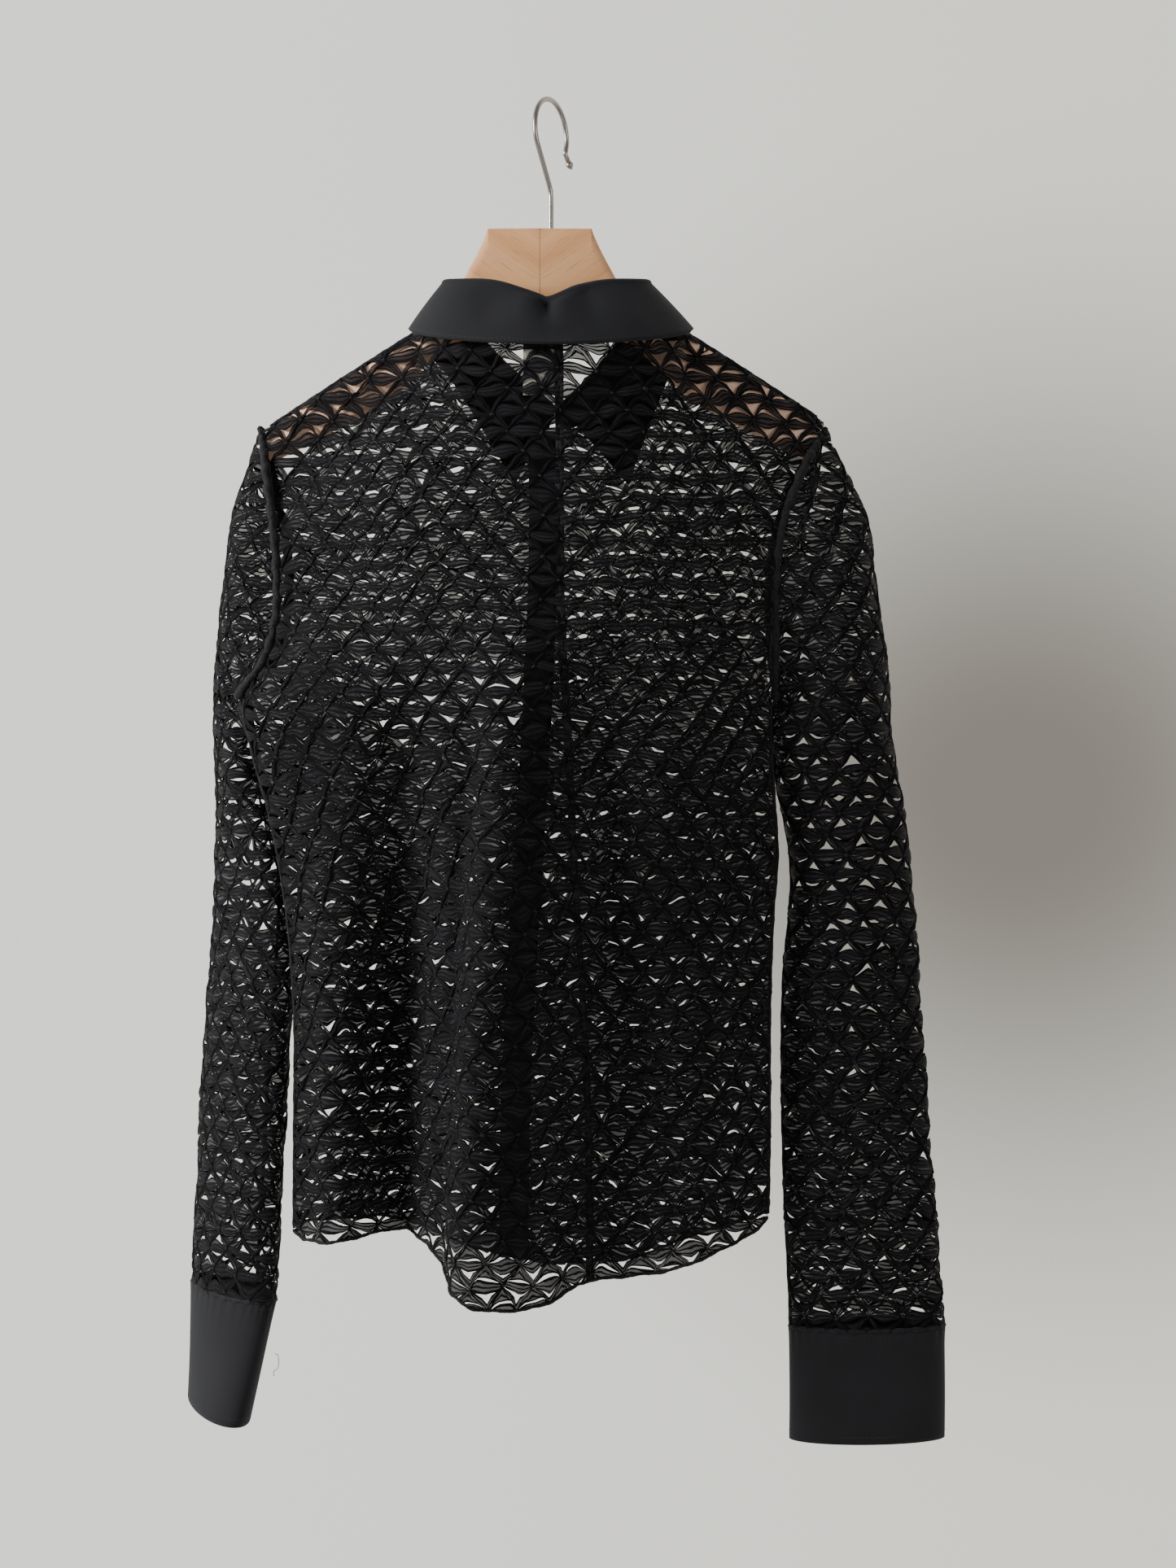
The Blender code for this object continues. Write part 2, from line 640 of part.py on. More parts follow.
def build_wood(collection):
    """The hanger's body: rounded sections along its length, closed at both tips."""
    half = [0, 20, 34, 36.5, 40, 45, 52, 58, 64, 71, 80, 90, 101, 120, 140, 160, 179, 185, 188.7, 190]
    stations = [-x for x in reversed(half[1:])] + half
    mesh = bmesh.new()
    rings = []
    for x in stations:
        top, bottom, thick = wood_section(x)
        tip = math.sqrt(max(1 - max((abs(x) - TIP_START) / TIP_ROUND, 0) ** 2, 0.02))
        middle, tall = (top + bottom) / 2, (top - bottom) / 2
        if abs(x) > TIP_START:
            tall = tall * (0.62 + 0.38 * tip)
            middle = top - tall - (1 - tip) * 5
            thick = thick * (0.45 + 0.55 * tip)
        forward = ARM_FORWARD * (abs(x) / ARM_REACH) ** 2
        ring = []
        for k in range(16):
            turn = 2 * math.pi * (k + 0.5) / 16
            y = math.cos(turn) * thick
            corner = tall - thick
            z = math.sin(turn) * thick + math.copysign(corner, math.sin(turn))
            ring.append(mesh.verts.new(np.array([x + WOOD_X, forward + y, middle + z]) * MM))
        rings.append(ring)
    for one, two in zip(rings, rings[1:]):
        for k in range(16):
            after = (k + 1) % 16
            mesh.faces.new((one[k], two[k], two[after], one[after]))
    for ring in (rings[0], rings[-1]):
        mesh.faces.new(ring)
    bmesh.ops.recalc_face_normals(mesh, faces=mesh.faces)
    data = bpy.data.meshes.new("hanger_wood")
    mesh.to_mesh(data)
    mesh.free()
    return new_object("hanger_wood", data, "beech", collection)


def cut_stem_hole(wood, cutters):
    """A blind hole in the block's top for the hook's stem."""
    bpy.ops.mesh.primitive_cylinder_add(
        vertices=16, radius=(WIRE_RADIUS + 0.3) * MM, depth=2 * (STEM_DEPTH + 0.3) * MM,
        location=(HOOK_X * MM, 0, BLOCK_TOP * MM),
    )
    cutter = bpy.context.object
    cutter.name = "stem_hole"
    for old in list(cutter.users_collection):
        old.objects.unlink(cutter)
    cutters.objects.link(cutter)
    cutter.hide_render = True
    cutter.display_type = "WIRE"
    cut = wood.modifiers.new("Stem hole", "BOOLEAN")
    cut.operation = "DIFFERENCE"
    cut.object = cutter


def hook_path():
    """(x, y, z, radius) along the wire: stem, bend, round crook, ball at its free end."""
    centre_z = WIRE_RADIUS - HOOK_RADIUS
    flat = [(0.0, BLOCK_TOP - STEM_DEPTH), (0.0, BLOCK_TOP), (0.0, -64.0), (-0.5, -60.0), (-2.2, -56.5)]
    for degrees in range(215, -21, -12):
        turn = math.radians(degrees)
        flat.append((HOOK_RADIUS * math.cos(turn), centre_z + HOOK_RADIUS * math.sin(turn)))
    end = np.array(flat[-1])
    ahead = end - np.array(flat[-2])
    ahead = ahead / np.linalg.norm(ahead)
    ahead = np.array([ahead[0] + 0.55, ahead[1]])
    ahead = ahead / np.linalg.norm(ahead)
    radii = [WIRE_RADIUS] * len(flat)
    flat.append(tuple(end + ahead * 7.0))
    radii.append(WIRE_RADIUS)
    for degrees in range(135, 0, -27):
        turn = math.radians(degrees)
        along = 9.2 + HOOK_BALL * -math.cos(turn)
        flat.append(tuple(end + ahead * along))
        radii.append(max(HOOK_BALL * math.sin(turn), 0.4))
    away = (math.sin(HOOK_TURN), math.cos(HOOK_TURN))
    return [
        (HOOK_X + u * away[0], u * away[1], z, radius) for (u, z), radius in zip(flat, radii)
    ]


def build_hook(collection):
    curve = bpy.data.curves.new("hanger_hook", "CURVE")
    curve.dimensions = "3D"
    curve.bevel_depth = WIRE_RADIUS * MM
    curve.bevel_resolution = 2
    curve.use_fill_caps = True
    path = hook_path()
    line = curve.splines.new("POLY")
    line.points.add(len(path) - 1)
    for point, (x, y, z, radius) in zip(line.points, path):
        point.co = (x * MM, y * MM, z * MM, 1)
        point.radius = radius / WIRE_RADIUS
    new_object("hanger_hook", curve, "steel", collection)


def main():
    for item in list(bpy.data.objects):
        bpy.data.objects.remove(item)
    shirt = bpy.data.collections.new("organdy_shirt")
    cutters = bpy.data.collections.new("cutters")
    for collection in (shirt, cutters):
        bpy.context.scene.collection.children.link(collection)
    build_panels(shirt)
    over = build_bands(shirt)
    build_front_buttons(over, shirt)
    build_sleeves(shirt)
    build_cuffs(shirt)
    build_collar(shirt)
    build_label(shirt)
    cut_stem_hole(build_wood(shirt), cutters)
    build_hook(shirt)


main()
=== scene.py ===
"""Looks of a black openwork organdy shirt that hangs on a beech hanger.

Tables and lengths are in millimetres, as in the part's source, and turned to metres by MM where
a mesh is made. Left and right are those of someone who sees the back: left is -X.
"""

import logging
import math
from dataclasses import dataclass, field
from enum import Enum
from typing import Callable, NamedTuple, Sequence

import bmesh
import bpy
import numpy as np
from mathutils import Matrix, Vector


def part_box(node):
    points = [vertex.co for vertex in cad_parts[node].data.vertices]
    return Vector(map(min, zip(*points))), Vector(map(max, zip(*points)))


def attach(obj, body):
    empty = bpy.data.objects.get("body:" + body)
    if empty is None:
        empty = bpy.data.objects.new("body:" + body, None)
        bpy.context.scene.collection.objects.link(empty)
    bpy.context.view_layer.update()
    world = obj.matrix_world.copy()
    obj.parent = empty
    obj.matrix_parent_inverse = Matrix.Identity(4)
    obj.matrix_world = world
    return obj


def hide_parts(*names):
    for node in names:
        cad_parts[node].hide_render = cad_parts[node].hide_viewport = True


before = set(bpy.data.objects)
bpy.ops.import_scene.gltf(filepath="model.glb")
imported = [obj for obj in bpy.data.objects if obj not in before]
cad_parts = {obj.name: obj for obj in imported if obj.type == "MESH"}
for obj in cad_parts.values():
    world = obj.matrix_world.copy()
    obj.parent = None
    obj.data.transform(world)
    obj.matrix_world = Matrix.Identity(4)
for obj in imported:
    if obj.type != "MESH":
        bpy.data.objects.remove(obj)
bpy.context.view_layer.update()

LOG = logging.getLogger("organdy_shirt")
MM = 0.001
ROOT = "root"
Array = np.ndarray
Tree = bpy.types.NodeTree
Socket = bpy.types.NodeSocket
Material = bpy.types.Material
Piece = bpy.types.Object
Bmesh = bmesh.types.BMesh
Mesh = bpy.types.Mesh


class Side(Enum):
    """Which side of the body a panel covers; the value is the sign of Y that it faces."""

    BACK = -1
    FRONT = 1


class Hand(Enum):
    """Which sleeve, by the sign of X."""

    LEFT = -1
    RIGHT = 1


# Sizes of the cloth's form, the same as in the part's source
LACE_WALL = 1.5
LABEL_WALL = 1.0
SEAM_GAP = 0.5
FINE = 240

WIRE_RADIUS = 1.75
HOOK_RADIUS = 22.0
HOOK_TURN = math.radians(28)
HOOK_BALL = 2.6
STEM_DEPTH = 14.0

BLOCK_TOP = -85.6
BLOCK_HALF = 35.0
BLOCK_FOOT = 52.0
BLOCK_FOOT_Z = -120.0
WOOD_HALF = 6.5
ARM_START = 84.0
ARM_REACH = 190.0
ARM_FORWARD = 28.0
TIP_START = 179.0
TIP_ROUND = 11.3
WOOD_X = -7.5
WOOD_CLEAR = 1.6

NECK_HALF = 93.0
NECK_Z = -155.0
SHOULDER_SLOPE = 0.595
BACK_NECK_DROP = 10.0
FRONT_NECK_DROP = 60.0
BACK_NECK_Y = -34.0
FRONT_NECK_Y = 46.0
UNDERARM_Z = -401.0
SHOULDER_Z = -214.0
FRONT_FOLD = math.radians(160)
LEFT_SEAT = math.radians(20)
SHOULDER_START = 0.5

BACK_SEAM = (6.0, 27.0)
FRONT_LINE = (-6.0, -27.0)
BAND_WIDTH = 19.0
BAND_STEP = 2.4

COLLAR_END = math.radians(175)
COLLAR_BEND = 2.6
FOLD_HALF = 68.0
FOLD_Z = -119.0
BACK_FOLD_DROP = 6.0
FOLD_DIP = 9.0
FOLD_FALL = 80.0
FOLD_POWER = 0.7
FRONT_SHIFT = 6.0
EDGE_HALF = 96.0
EDGE_Z = -151.5
EDGE_DIP = 20.0
POINT_HALF = 42.0
POINT_SHIFT = 13.0
POINT_FALL = 92.0

CUFF_TOPS = {Hand.LEFT: -812.0, Hand.RIGHT: -832.0}
CUFF_HEIGHT = 76.0
THREAD_START = (-193.0, 48.0, -857.0)
CUFF_GAP = 0.3
CUFF_LAP = math.radians(24)
CUFF_START = math.radians(80)
CUFF_STEP = 2.6
CUFF_SWING = (-19.0, -6.0, -6.0)

BUTTON_RADIUS = 5.5
BUTTON_HALF = 1.2
BUTTON_HEIGHTS = (-228.0, -305.0, -382.0, -459.0, -536.0, -613.0, -690.0)


class Body(NamedTuple):
    """Where the panels end at each side of the body, and how far they stand from that line."""

    z: float
    left_x: float
    left_back: float
    left_front: float
    right_x: float
    right_back: float
    right_front: float
    back: float
    front: float


BODY = (
    Body(-214, -199.0, 27, 29, 187.0, 27, 29, 62, 22),
    Body(-250, -192.0, 8, 45, 168.0, 7, 46, 48, 14),
    Body(-282, -186.0, -3, 55, 155.0, -2, 55, 42, 9),
    Body(-317, -182.0, -7, 56, 149.5, -4, 58, 42, 11),
    Body(-352, -182.5, -9, 40, 148.5, -1, 49, 47, 23),
    Body(-380, -190.5, -12, 14, 148.5, 5, 32, 52, 44),
    Body(-401, -204.0, -15, -15, 149.0, 12, 12, 54, 66),
    Body(-436, -200.0, -14, -14, 149.5, 12, 12, 54, 66),
    Body(-470, -191.0, -11, -11, 151.5, 11, 11, 53, 65),
    Body(-511, -182.5, -8, -8, 153.5, 10, 10, 51, 64),
    Body(-542, -178.0, -6, -6, 151.0, 9, 9, 49, 63),
    Body(-600, -173.0, -5, -5, 148.5, 8, 8, 46, 62),
    Body(-700, -172.5, -5, -5, 148.0, 8, 8, 43, 62),
    Body(-800, -173.0, -5, -5, 146.0, 8, 8, 41, 62),
)


class Fold(NamedTuple):
    """A large fold: its crest, half widths, depth, the heights it grows between, and its lean."""

    top_x: float
    hem_x: float
    left: float
    right: float
    depth: float
    start: float
    full: float
    lean: float


FOLDS = {
    Side.BACK: (
        Fold(-150, -150, 24, 28, 9, -430, -640, 0),
        Fold(-92, -101, 40, 34, -34, -330, -640, 0),
        Fold(-30, -54, 19, 36, 23, -300, -640, -5),
        Fold(-10, -26, 46, 58, 30, -300, -640, -4),
        Fold(34, 40, 26, 36, -7, -340, -600, 0),
        Fold(84, 92, 34, 36, 7, -340, -600, 0),
    ),
    Side.FRONT: (
        Fold(-112, -104, 40, 38, 13, -380, -650, 0),
        Fold(56, 54, 36, 42, -13, -380, -650, 0),
        Fold(108, 106, 28, 28, 8, -380, -650, 0),
    ),
}


class HemRow(NamedTuple):
    """Heights of the back's and the front's lower edge."""

    x: float
    back: float
    front: float


HEM = (
    HemRow(-180, -757, -757),
    HemRow(-165, -765, -757),
    HemRow(-150, -764, -758),
    HemRow(-118, -761, -761),
    HemRow(-96, -760, -768),
    HemRow(-82, -766, -774),
    HemRow(-72, -774, -778),
    HemRow(-64, -789, -782),
    HemRow(-50, -796, -787),
    HemRow(-27, -800, -793),
    HemRow(-5, -799, -797),
    HemRow(6, -796, -797),
    HemRow(18, -789, -797),
    HemRow(50, -787, -792),
    HemRow(75, -783, -784),
    HemRow(100, -776, -775),
    HemRow(120, -769, -767),
    HemRow(136, -763, -758),
    HemRow(150, -752, -750),
)


class SleeveRow(NamedTuple):
    """A section of a sleeve: its centre, half sizes outward and forward, and its turn."""

    z: float
    x: float
    y: float
    out: float
    fore: float
    turn: float


SLEEVES = {
    Hand.LEFT: (
        SleeveRow(-214, -201, 28, 7, 18, 0),
        SleeveRow(-240, -203, 30, 10, 30, 4),
        SleeveRow(-275, -206, 33, 14, 38, 9),
        SleeveRow(-317, -208, 38, 18, 42, 8),
        SleeveRow(-360, -218, 48, 15, 41, 5),
        SleeveRow(-401, -222, 56, 14, 41, 5),
        SleeveRow(-440, -220, 60, 16, 42, 11),
        SleeveRow(-480, -216, 62, 18, 45, 21),
        SleeveRow(-540, -214, 60, 19, 49, 32),
        SleeveRow(-600, -214, 55, 19, 51, 36),
        SleeveRow(-720, -218, 49, 19, 51, 37),
        SleeveRow(-822, -222, 44, 18, 50, 37),
    ),
    Hand.RIGHT: (
        SleeveRow(-214, 189, 28, 7, 18, 0),
        SleeveRow(-240, 192, 28, 16, 30, 0),
        SleeveRow(-275, 192, 29, 24, 36, 0),
        SleeveRow(-317, 191, 30, 31, 39, 0),
        SleeveRow(-401, 195, 32, 41, 37, 0),
        SleeveRow(-450, 199, 32, 42, 33, 0),
        SleeveRow(-515, 206, 30, 41, 28, 0),
        SleeveRow(-600, 206, 28, 47, 24, 2),
        SleeveRow(-715, 210, 26, 51, 21, 3),
        SleeveRow(-822, 216.5, 25, 53, 19, 3),
    ),
}


class Crease(NamedTuple):
    """A soft ridge (height above 0) or trough in flat cloth, from one point to another."""

    s0: float
    t0: float
    s1: float
    t1: float
    width: float
    height: float


CREASES = {
    "back": (
        Crease(-178, 300, -60, 420, 11, -2.6),
        Crease(-172, 340, -120, 520, 12, 2.4),
        Crease(-150, 420, -128, 640, 8, -2.2),
        Crease(-120, 560, -112, 780, 7, 1.8),
        Crease(-60, 330, -46, 560, 9, 2.2),
        Crease(-36, 480, -28, 780, 7, -1.8),
        Crease(20, 360, 34, 600, 10, -2.0),
        Crease(140, 300, 60, 470, 12, 2.4),
        Crease(150, 380, 96, 560, 10, -2.2),
        Crease(92, 560, 96, 760, 8, 1.6),
        Crease(128, 520, 126, 740, 7, -1.5),
        Crease(-150, 205, -40, 200, 9, 1.4),
        Crease(40, 196, 130, 215, 9, 1.4),
    ),
    "front": (
        Crease(-150, 330, -60, 470, 11, 2.4),
        Crease(-140, 430, -110, 700, 9, -2.2),
        Crease(-70, 420, -60, 740, 8, 2.0),
        Crease(60, 300, 46, 560, 10, -2.2),
        Crease(130, 340, 84, 520, 11, 2.4),
        Crease(120, 520, 112, 740, 8, -1.8),
    ),
    "sleeve_left": (
        Crease(-40, 300, 30, 420, 9, -2.0),
        Crease(-60, 430, 10, 520, 8, 1.8),
        Crease(-30, 520, -36, 800, 8, 1.6),
        Crease(24, 470, 40, 800, 8, -1.8),
        Crease(70, 440, 78, 760, 9, 1.6),
    ),
    "sleeve_right": (
        Crease(-60, 330, -20, 450, 9, 2.0),
        Crease(-36, 400, -30, 800, 8, 2.2),
        Crease(-70, 470, -66, 790, 8, -2.0),
        Crease(20, 420, 26, 800, 9, -1.6),
        Crease(70, 450, 60, 760, 9, 1.6),
    ),
}


# The cloth's form
CUT_STEP = 1.0


def smooth(start: float, end: float, value: Array) -> Array:
    """Return 0 at start and 1 at end, with no corner at either."""
    t = np.clip((value - start) / (end - start), 0, 1)
    return t * t * (3 - 2 * t)


def column(rows: Sequence[NamedTuple], name: str, z: Array) -> Array:
    """Read a table's column at height z, smoothly between its rows.

    Args:
        rows: The table, from its top row down.
        name: The column's name.
        z: Heights.

    Returns:
        The values at those heights.
    """
    heights = np.array([-row.z for row in rows], float)
    values = np.array([getattr(row, name) for row in rows], float)
    slopes = np.gradient(values, heights)
    down = np.clip(-np.asarray(z, float), heights[0], heights[-1])
    i = np.clip(np.searchsorted(heights, down, side="right") - 1, 0, len(heights) - 2)
    step = heights[i + 1] - heights[i]
    t = (down - heights[i]) / step
    start, end = 2 * t**3 - 3 * t**2 + 1, 3 * t**2 - 2 * t**3
    leave, arrive = (t**3 - 2 * t**2 + t) * step, (t**3 - t**2) * step
    return start * values[i] + end * values[i + 1] + leave * slopes[i] + arrive * slopes[i + 1]


def ridge_y(x: Array) -> Array:
    """Return how far forward the hanger's arms, and the shoulder seams on them, are bent."""
    return ARM_FORWARD * (np.abs(x - WOOD_X) / ARM_REACH) ** 2


def shoulder_z(x: Array) -> Array:
    """Return the height of the shoulder seams."""
    return NECK_Z - SHOULDER_SLOPE * np.maximum(np.abs(x) - NECK_HALF, 0)


def neck_y(x: Array, side: Side) -> Array:
    """Return the neckline's place, seen from above."""
    deep = BACK_NECK_Y if side is Side.BACK else FRONT_NECK_Y
    end = ridge_y(NECK_HALF)
    return end + (deep - end) * np.sqrt(np.maximum(1 - (x / NECK_HALF) ** 2, 0))


def top_z(x: Array, side: Side) -> Array:
    """Return the height of a panel's top edge: its shoulder seams and the neckline between."""
    drop, power = (BACK_NECK_DROP, 0.8) if side is Side.BACK else (FRONT_NECK_DROP, 1.15)
    inside = np.maximum(1 - (x / NECK_HALF) ** 2, 0)
    return shoulder_z(x) - drop * inside**power


def hem_z(x: Array, side: Side) -> Array:
    """Return the height of the hem, which hangs lower in the back's near fold."""
    heights = [row.back if side is Side.BACK else row.front for row in HEM]
    return np.interp(x, [row.x for row in HEM], heights)


def ends(z: Array, side: Side) -> list[Array]:
    """Return left x, left y, right x and right y; below the arms back and front share them."""
    shared = [column(BODY, name, z) for name in ("left_x", "left_back", "right_x", "right_back")]
    if side is Side.BACK:
        return shared
    joined = np.asarray(z) < UNDERARM_Z
    shared[1] = np.where(joined, shared[1], column(BODY, "left_front", z))
    shared[3] = np.where(joined, shared[3], column(BODY, "right_front", z))
    return shared


def section(across: Array, z: Array, side: Side) -> tuple[Array, Array]:
    """Find points of the body's section.

    Args:
        across: Shares of the width, from -1 at the left seam to 1 at the right one.
        z: Heights, one for each share.
        side: Back or front.

    Returns:
        The x and y of each point.
    """
    left_x, left_y, right_x, right_y = ends(z, side)
    middle, half = (left_x + right_x) / 2, (right_x - left_x) / 2
    share = np.sin(across * math.pi / 2)
    x = middle + half * share
    roundness = 1.0 - 0.35 * smooth(-300, UNDERARM_Z, z)
    depth = column(BODY, "back" if side is Side.BACK else "front", z)
    bulge = np.maximum(1 - share**2, 0) ** roundness
    y = left_y + (right_y - left_y) * (share + 1) / 2 + side.value * depth * bulge
    at_edge = smooth(0, 0.16, 1 - np.abs(share))
    shift = np.zeros_like(x)
    for fold in FOLDS[side]:
        grown = smooth(fold.start, fold.full, z)
        crest = fold.top_x + (fold.hem_x - fold.top_x) * smooth(fold.start, -800, z)
        reach = np.where(x < crest, fold.left, fold.right)
        bump = np.cos(math.pi / 2 * np.clip((x - crest) / reach, -1, 1)) ** 2 * grown * at_edge
        y = y + side.value * fold.depth * bump
        shift = shift + fold.lean * bump
    return x + shift, y


def body_row(depth: float, share: float, side: Side) -> Array:
    """Find a row of points across the back or front.

    Args:
        depth: Depth below the top edge.
        share: 0 at that depth, 1 at the underarm, 2 at the hem.
        side: Back or front.

    Returns:
        FINE points, from the left side to the right one.
    """
    across = np.linspace(-1, 1, FINE)
    z = np.full(FINE, -300.0)
    round_over = WOOD_HALF + WOOD_CLEAR
    turned = min(depth / round_over, math.pi / 2)
    if turned < math.pi / 2:
        drop = round_over * (1 - math.cos(turned))
    else:
        drop = depth - round_over * (math.pi / 2 - 1)
    for _ in range(5):
        x, y = section(across, z, side)
        in_neck = 1 - smooth(NECK_HALF - 5, NECK_HALF + 1, np.abs(x))
        start = top_z(x, side) - drop - (depth - drop) * in_neck
        z = start + (UNDERARM_Z - start) * min(share, 1.0)
        z = z + (hem_z(x, side) - UNDERARM_Z) * max(share - 1.0, 0.0)
    hung = ridge_y(x) + side.value * round_over * math.sin(turned)
    hung = hung + (neck_y(x, side) - hung) * in_neck
    fallen = top_z(x, side) - z
    step = side.value * (y - hung) * smooth(0, 95, fallen - 4 * (1 - in_neck))
    step = np.where(step < 0, step * smooth(40, 75, fallen), step)
    return np.stack([x, hung + side.value * step, z], axis=1)


# how far each sleeve leans on the body beside it, at which height, and over what reach
LEANS = {Hand.LEFT: (3.0, -575.0, 60.0), Hand.RIGHT: (4.5, -425.0, 55.0)}


def armhole(angle: Array, hand: Hand) -> Array:
    """Find points of the armhole.

    Args:
        angle: 0 at the shoulder, half a turn at the underarm, the front between.
        hand: Which sleeve.

    Returns:
        Points, one for each angle.
    """
    z = SHOULDER_Z + (UNDERARM_Z - SHOULDER_Z) * (1 - np.cos(angle)) / 2
    back, front = ends(z, Side.BACK), ends(z, Side.FRONT)
    first = 0 if hand is Hand.LEFT else 2
    ahead = np.sin(angle) >= 0
    x = np.where(ahead, front[first], back[first])
    y = np.where(ahead, front[first + 1], back[first + 1])
    under = (1 - np.cos(angle)) / 2
    out = SEAM_GAP + 0.1 + 2.8 * under
    out = out + np.where(ahead, 1.5 * np.exp(-(((angle - FRONT_FOLD) / 0.3) ** 2)), 0.0)
    behind = 3.0 * np.abs(np.sin(angle)) * under
    return np.stack([x + hand.value * out, y + behind, z], axis=-1)


def sleeve_ring(angle: Array, z: Array, hand: Hand) -> Array:
    """Find points of a sleeve's section at heights z, one for each angle."""
    rows = SLEEVES[hand]
    turn = np.radians(column(rows, "turn", z))
    under = (1 - np.cos(angle)) / 2
    seat = LEFT_SEAT if hand is Hand.LEFT else 0.0
    turned = angle + seat * under * (1 - smooth(-430, -600, z))
    out = hand.value * column(rows, "out", z) * np.cos(turned)
    fore = column(rows, "fore", z) * np.sin(turned)
    x = column(rows, "x", z) + out * np.cos(turn) - fore * np.sin(turn)
    y = column(rows, "y", z) + out * np.sin(turn) + fore * np.cos(turn)
    lean, middle, reach = LEANS[hand]
    x = x - hand.value * lean * np.exp(-(((z - middle) / reach) ** 2))
    return np.stack([x, y, z], axis=-1)


def sleeve_level(angle: Array, z: float, hand: Hand) -> Array:
    """Find points of a sleeve at one height; above the armhole they stay on its edge."""
    start = armhole(angle, hand)
    level = np.minimum(z, start[:, 2])
    under = (1 - np.cos(angle)) / 2
    ring = sleeve_ring(angle, level, hand)
    points = ring.copy()
    for axis, reach in enumerate((60.0 - 42.0 * under, 60.0 + 30.0 * under)):
        weight = np.clip((start[:, 2] - level) / reach, 0.0, 1.0) ** 0.6
        weight = weight + (smooth(0, 1, weight) - weight) * under
        points[:, axis] = start[:, axis] + (ring[:, axis] - start[:, axis]) * weight
    return points


def centre_line(z: Array, line: tuple[float, float]) -> Array:
    """Return the x of a centre line at height z."""
    return line[0] + (line[1] - line[0]) * smooth(-250, -760, z)


@dataclass
class ClothMap:
    """A cloth's hung form as a table over flat width s and fall t.

    Attributes:
        s: Flat widths of the table's columns, evenly spaced.
        t: Falls of its rows, evenly spaced.
        points: Points of the form, row by row.
        top: Pairs (s, t) of the top edge.
        foot: Pairs (s, t) of the lower edge.
        left: The s of the left edge at each row.
        right: The s of the right edge at each row.
        creases: Soft ridges and troughs laid on the form.
        outward: 1 where s crossed with t faces out of the garment, else -1.
    """

    s: Array
    t: Array
    points: Array
    top: tuple[Array, Array]
    foot: tuple[Array, Array]
    left: Array
    right: Array
    creases: tuple[Crease, ...]
    outward: float = 1.0
    normals: Array = field(init=False)

    def __post_init__(self) -> None:
        """Work out the normals that face out of the garment."""
        along = np.gradient(self.points, axis=1)
        down = np.gradient(self.points, axis=0)
        normal = np.cross(along, down) * self.outward
        length = np.linalg.norm(normal, axis=2, keepdims=True)
        self.normals = normal / np.maximum(length, 1e-6)

    def hold(self, s: Array, t: Array, first: float, last: float) -> tuple[Array, Array]:
        """Bring flat points inside the panel's outline.

        Args:
            s: Flat widths.
            t: Falls.
            first: Left limit of the panel, where it ends at a centre line.
            last: Right limit.

        Returns:
            The held s and t.
        """
        t = np.clip(t, np.interp(s, *self.top), np.interp(s, *self.foot))
        low = np.maximum(np.interp(t, self.t, self.left), first)
        high = np.minimum(np.interp(t, self.t, self.right), last)
        s = np.clip(s, low, high)
        return s, np.clip(t, np.interp(s, *self.top), np.interp(s, *self.foot))

    def read(self, table: Array, s: Array, t: Array) -> Array:
        """Read a table of vectors between its columns and rows."""
        a = np.clip((s - self.s[0]) / (self.s[1] - self.s[0]), 0, len(self.s) - 1.001)
        b = np.clip((t - self.t[0]) / (self.t[1] - self.t[0]), 0, len(self.t) - 1.001)
        i, j = a.astype(int), b.astype(int)
        a, b = (a - i)[:, None], (b - j)[:, None]
        upper = table[j, i] * (1 - a) + table[j, i + 1] * a
        lower = table[j + 1, i] * (1 - a) + table[j + 1, i + 1] * a
        return upper * (1 - b) + lower * b

    def relief(self, s: Array, t: Array) -> Array:
        """Return the height of the creases at flat points."""
        height = np.zeros_like(s)
        for crease in self.creases:
            ds, dt = crease.s1 - crease.s0, crease.t1 - crease.t0
            length = math.hypot(ds, dt)
            along = ((s - crease.s0) * ds + (t - crease.t0) * dt) / length**2
            off = ((s - crease.s0) * dt - (t - crease.t0) * ds) / length
            off = off + 0.25 * crease.width * np.sin(along * 5.0 + crease.width)
            fade = np.clip(np.sin(math.pi * np.clip(along, 0, 1)), 0, 1) ** 0.7
            height += crease.height * fade * np.exp(-((off / crease.width) ** 2))
        return height

    def place(self, s: Array, t: Array, height: Array) -> Array:
        """Find points of the hung cloth.

        Args:
            s: Flat widths.
            t: Falls.
            height: Heights above the cloth's middle, out of the garment.

        Returns:
            The points, in millimetres.
        """
        s, t = np.asarray(s, float), np.asarray(t, float)
        inside = np.minimum(s - np.interp(t, self.t, self.left), np.interp(t, self.t, self.right) - s)
        inside = np.minimum(inside, t - np.interp(s, *self.top))
        relief = self.relief(s, t) * smooth(0.0, 25.0, inside)
        normal = self.read(self.normals, s, t)
        normal = normal / np.maximum(np.linalg.norm(normal, axis=1, keepdims=True), 1e-6)
        return self.read(self.points, s, t) + normal * (np.asarray(height) + relief)[:, None]


def even_table(s_rows: Array, point_rows: Array, step: float) -> tuple[Array, Array]:
    """Resample rows of points at even flat widths.

    Args:
        s_rows: Flat width of each point, row by row.
        point_rows: The points.
        step: Distance between the new columns.

    Returns:
        The even widths, and the table of points.
    """
    even = np.arange(s_rows.min() - 2 * step, s_rows.max() + 2 * step, step)
    table = np.empty((len(point_rows), len(even), 3))
    for row, (s, points) in enumerate(zip(s_rows, point_rows)):
        rising = np.maximum.accumulate(s + np.arange(len(s)) * 1e-9)
        for k in range(3):
            table[row, :, k] = np.interp(even, rising, points[:, k])
    return even, table


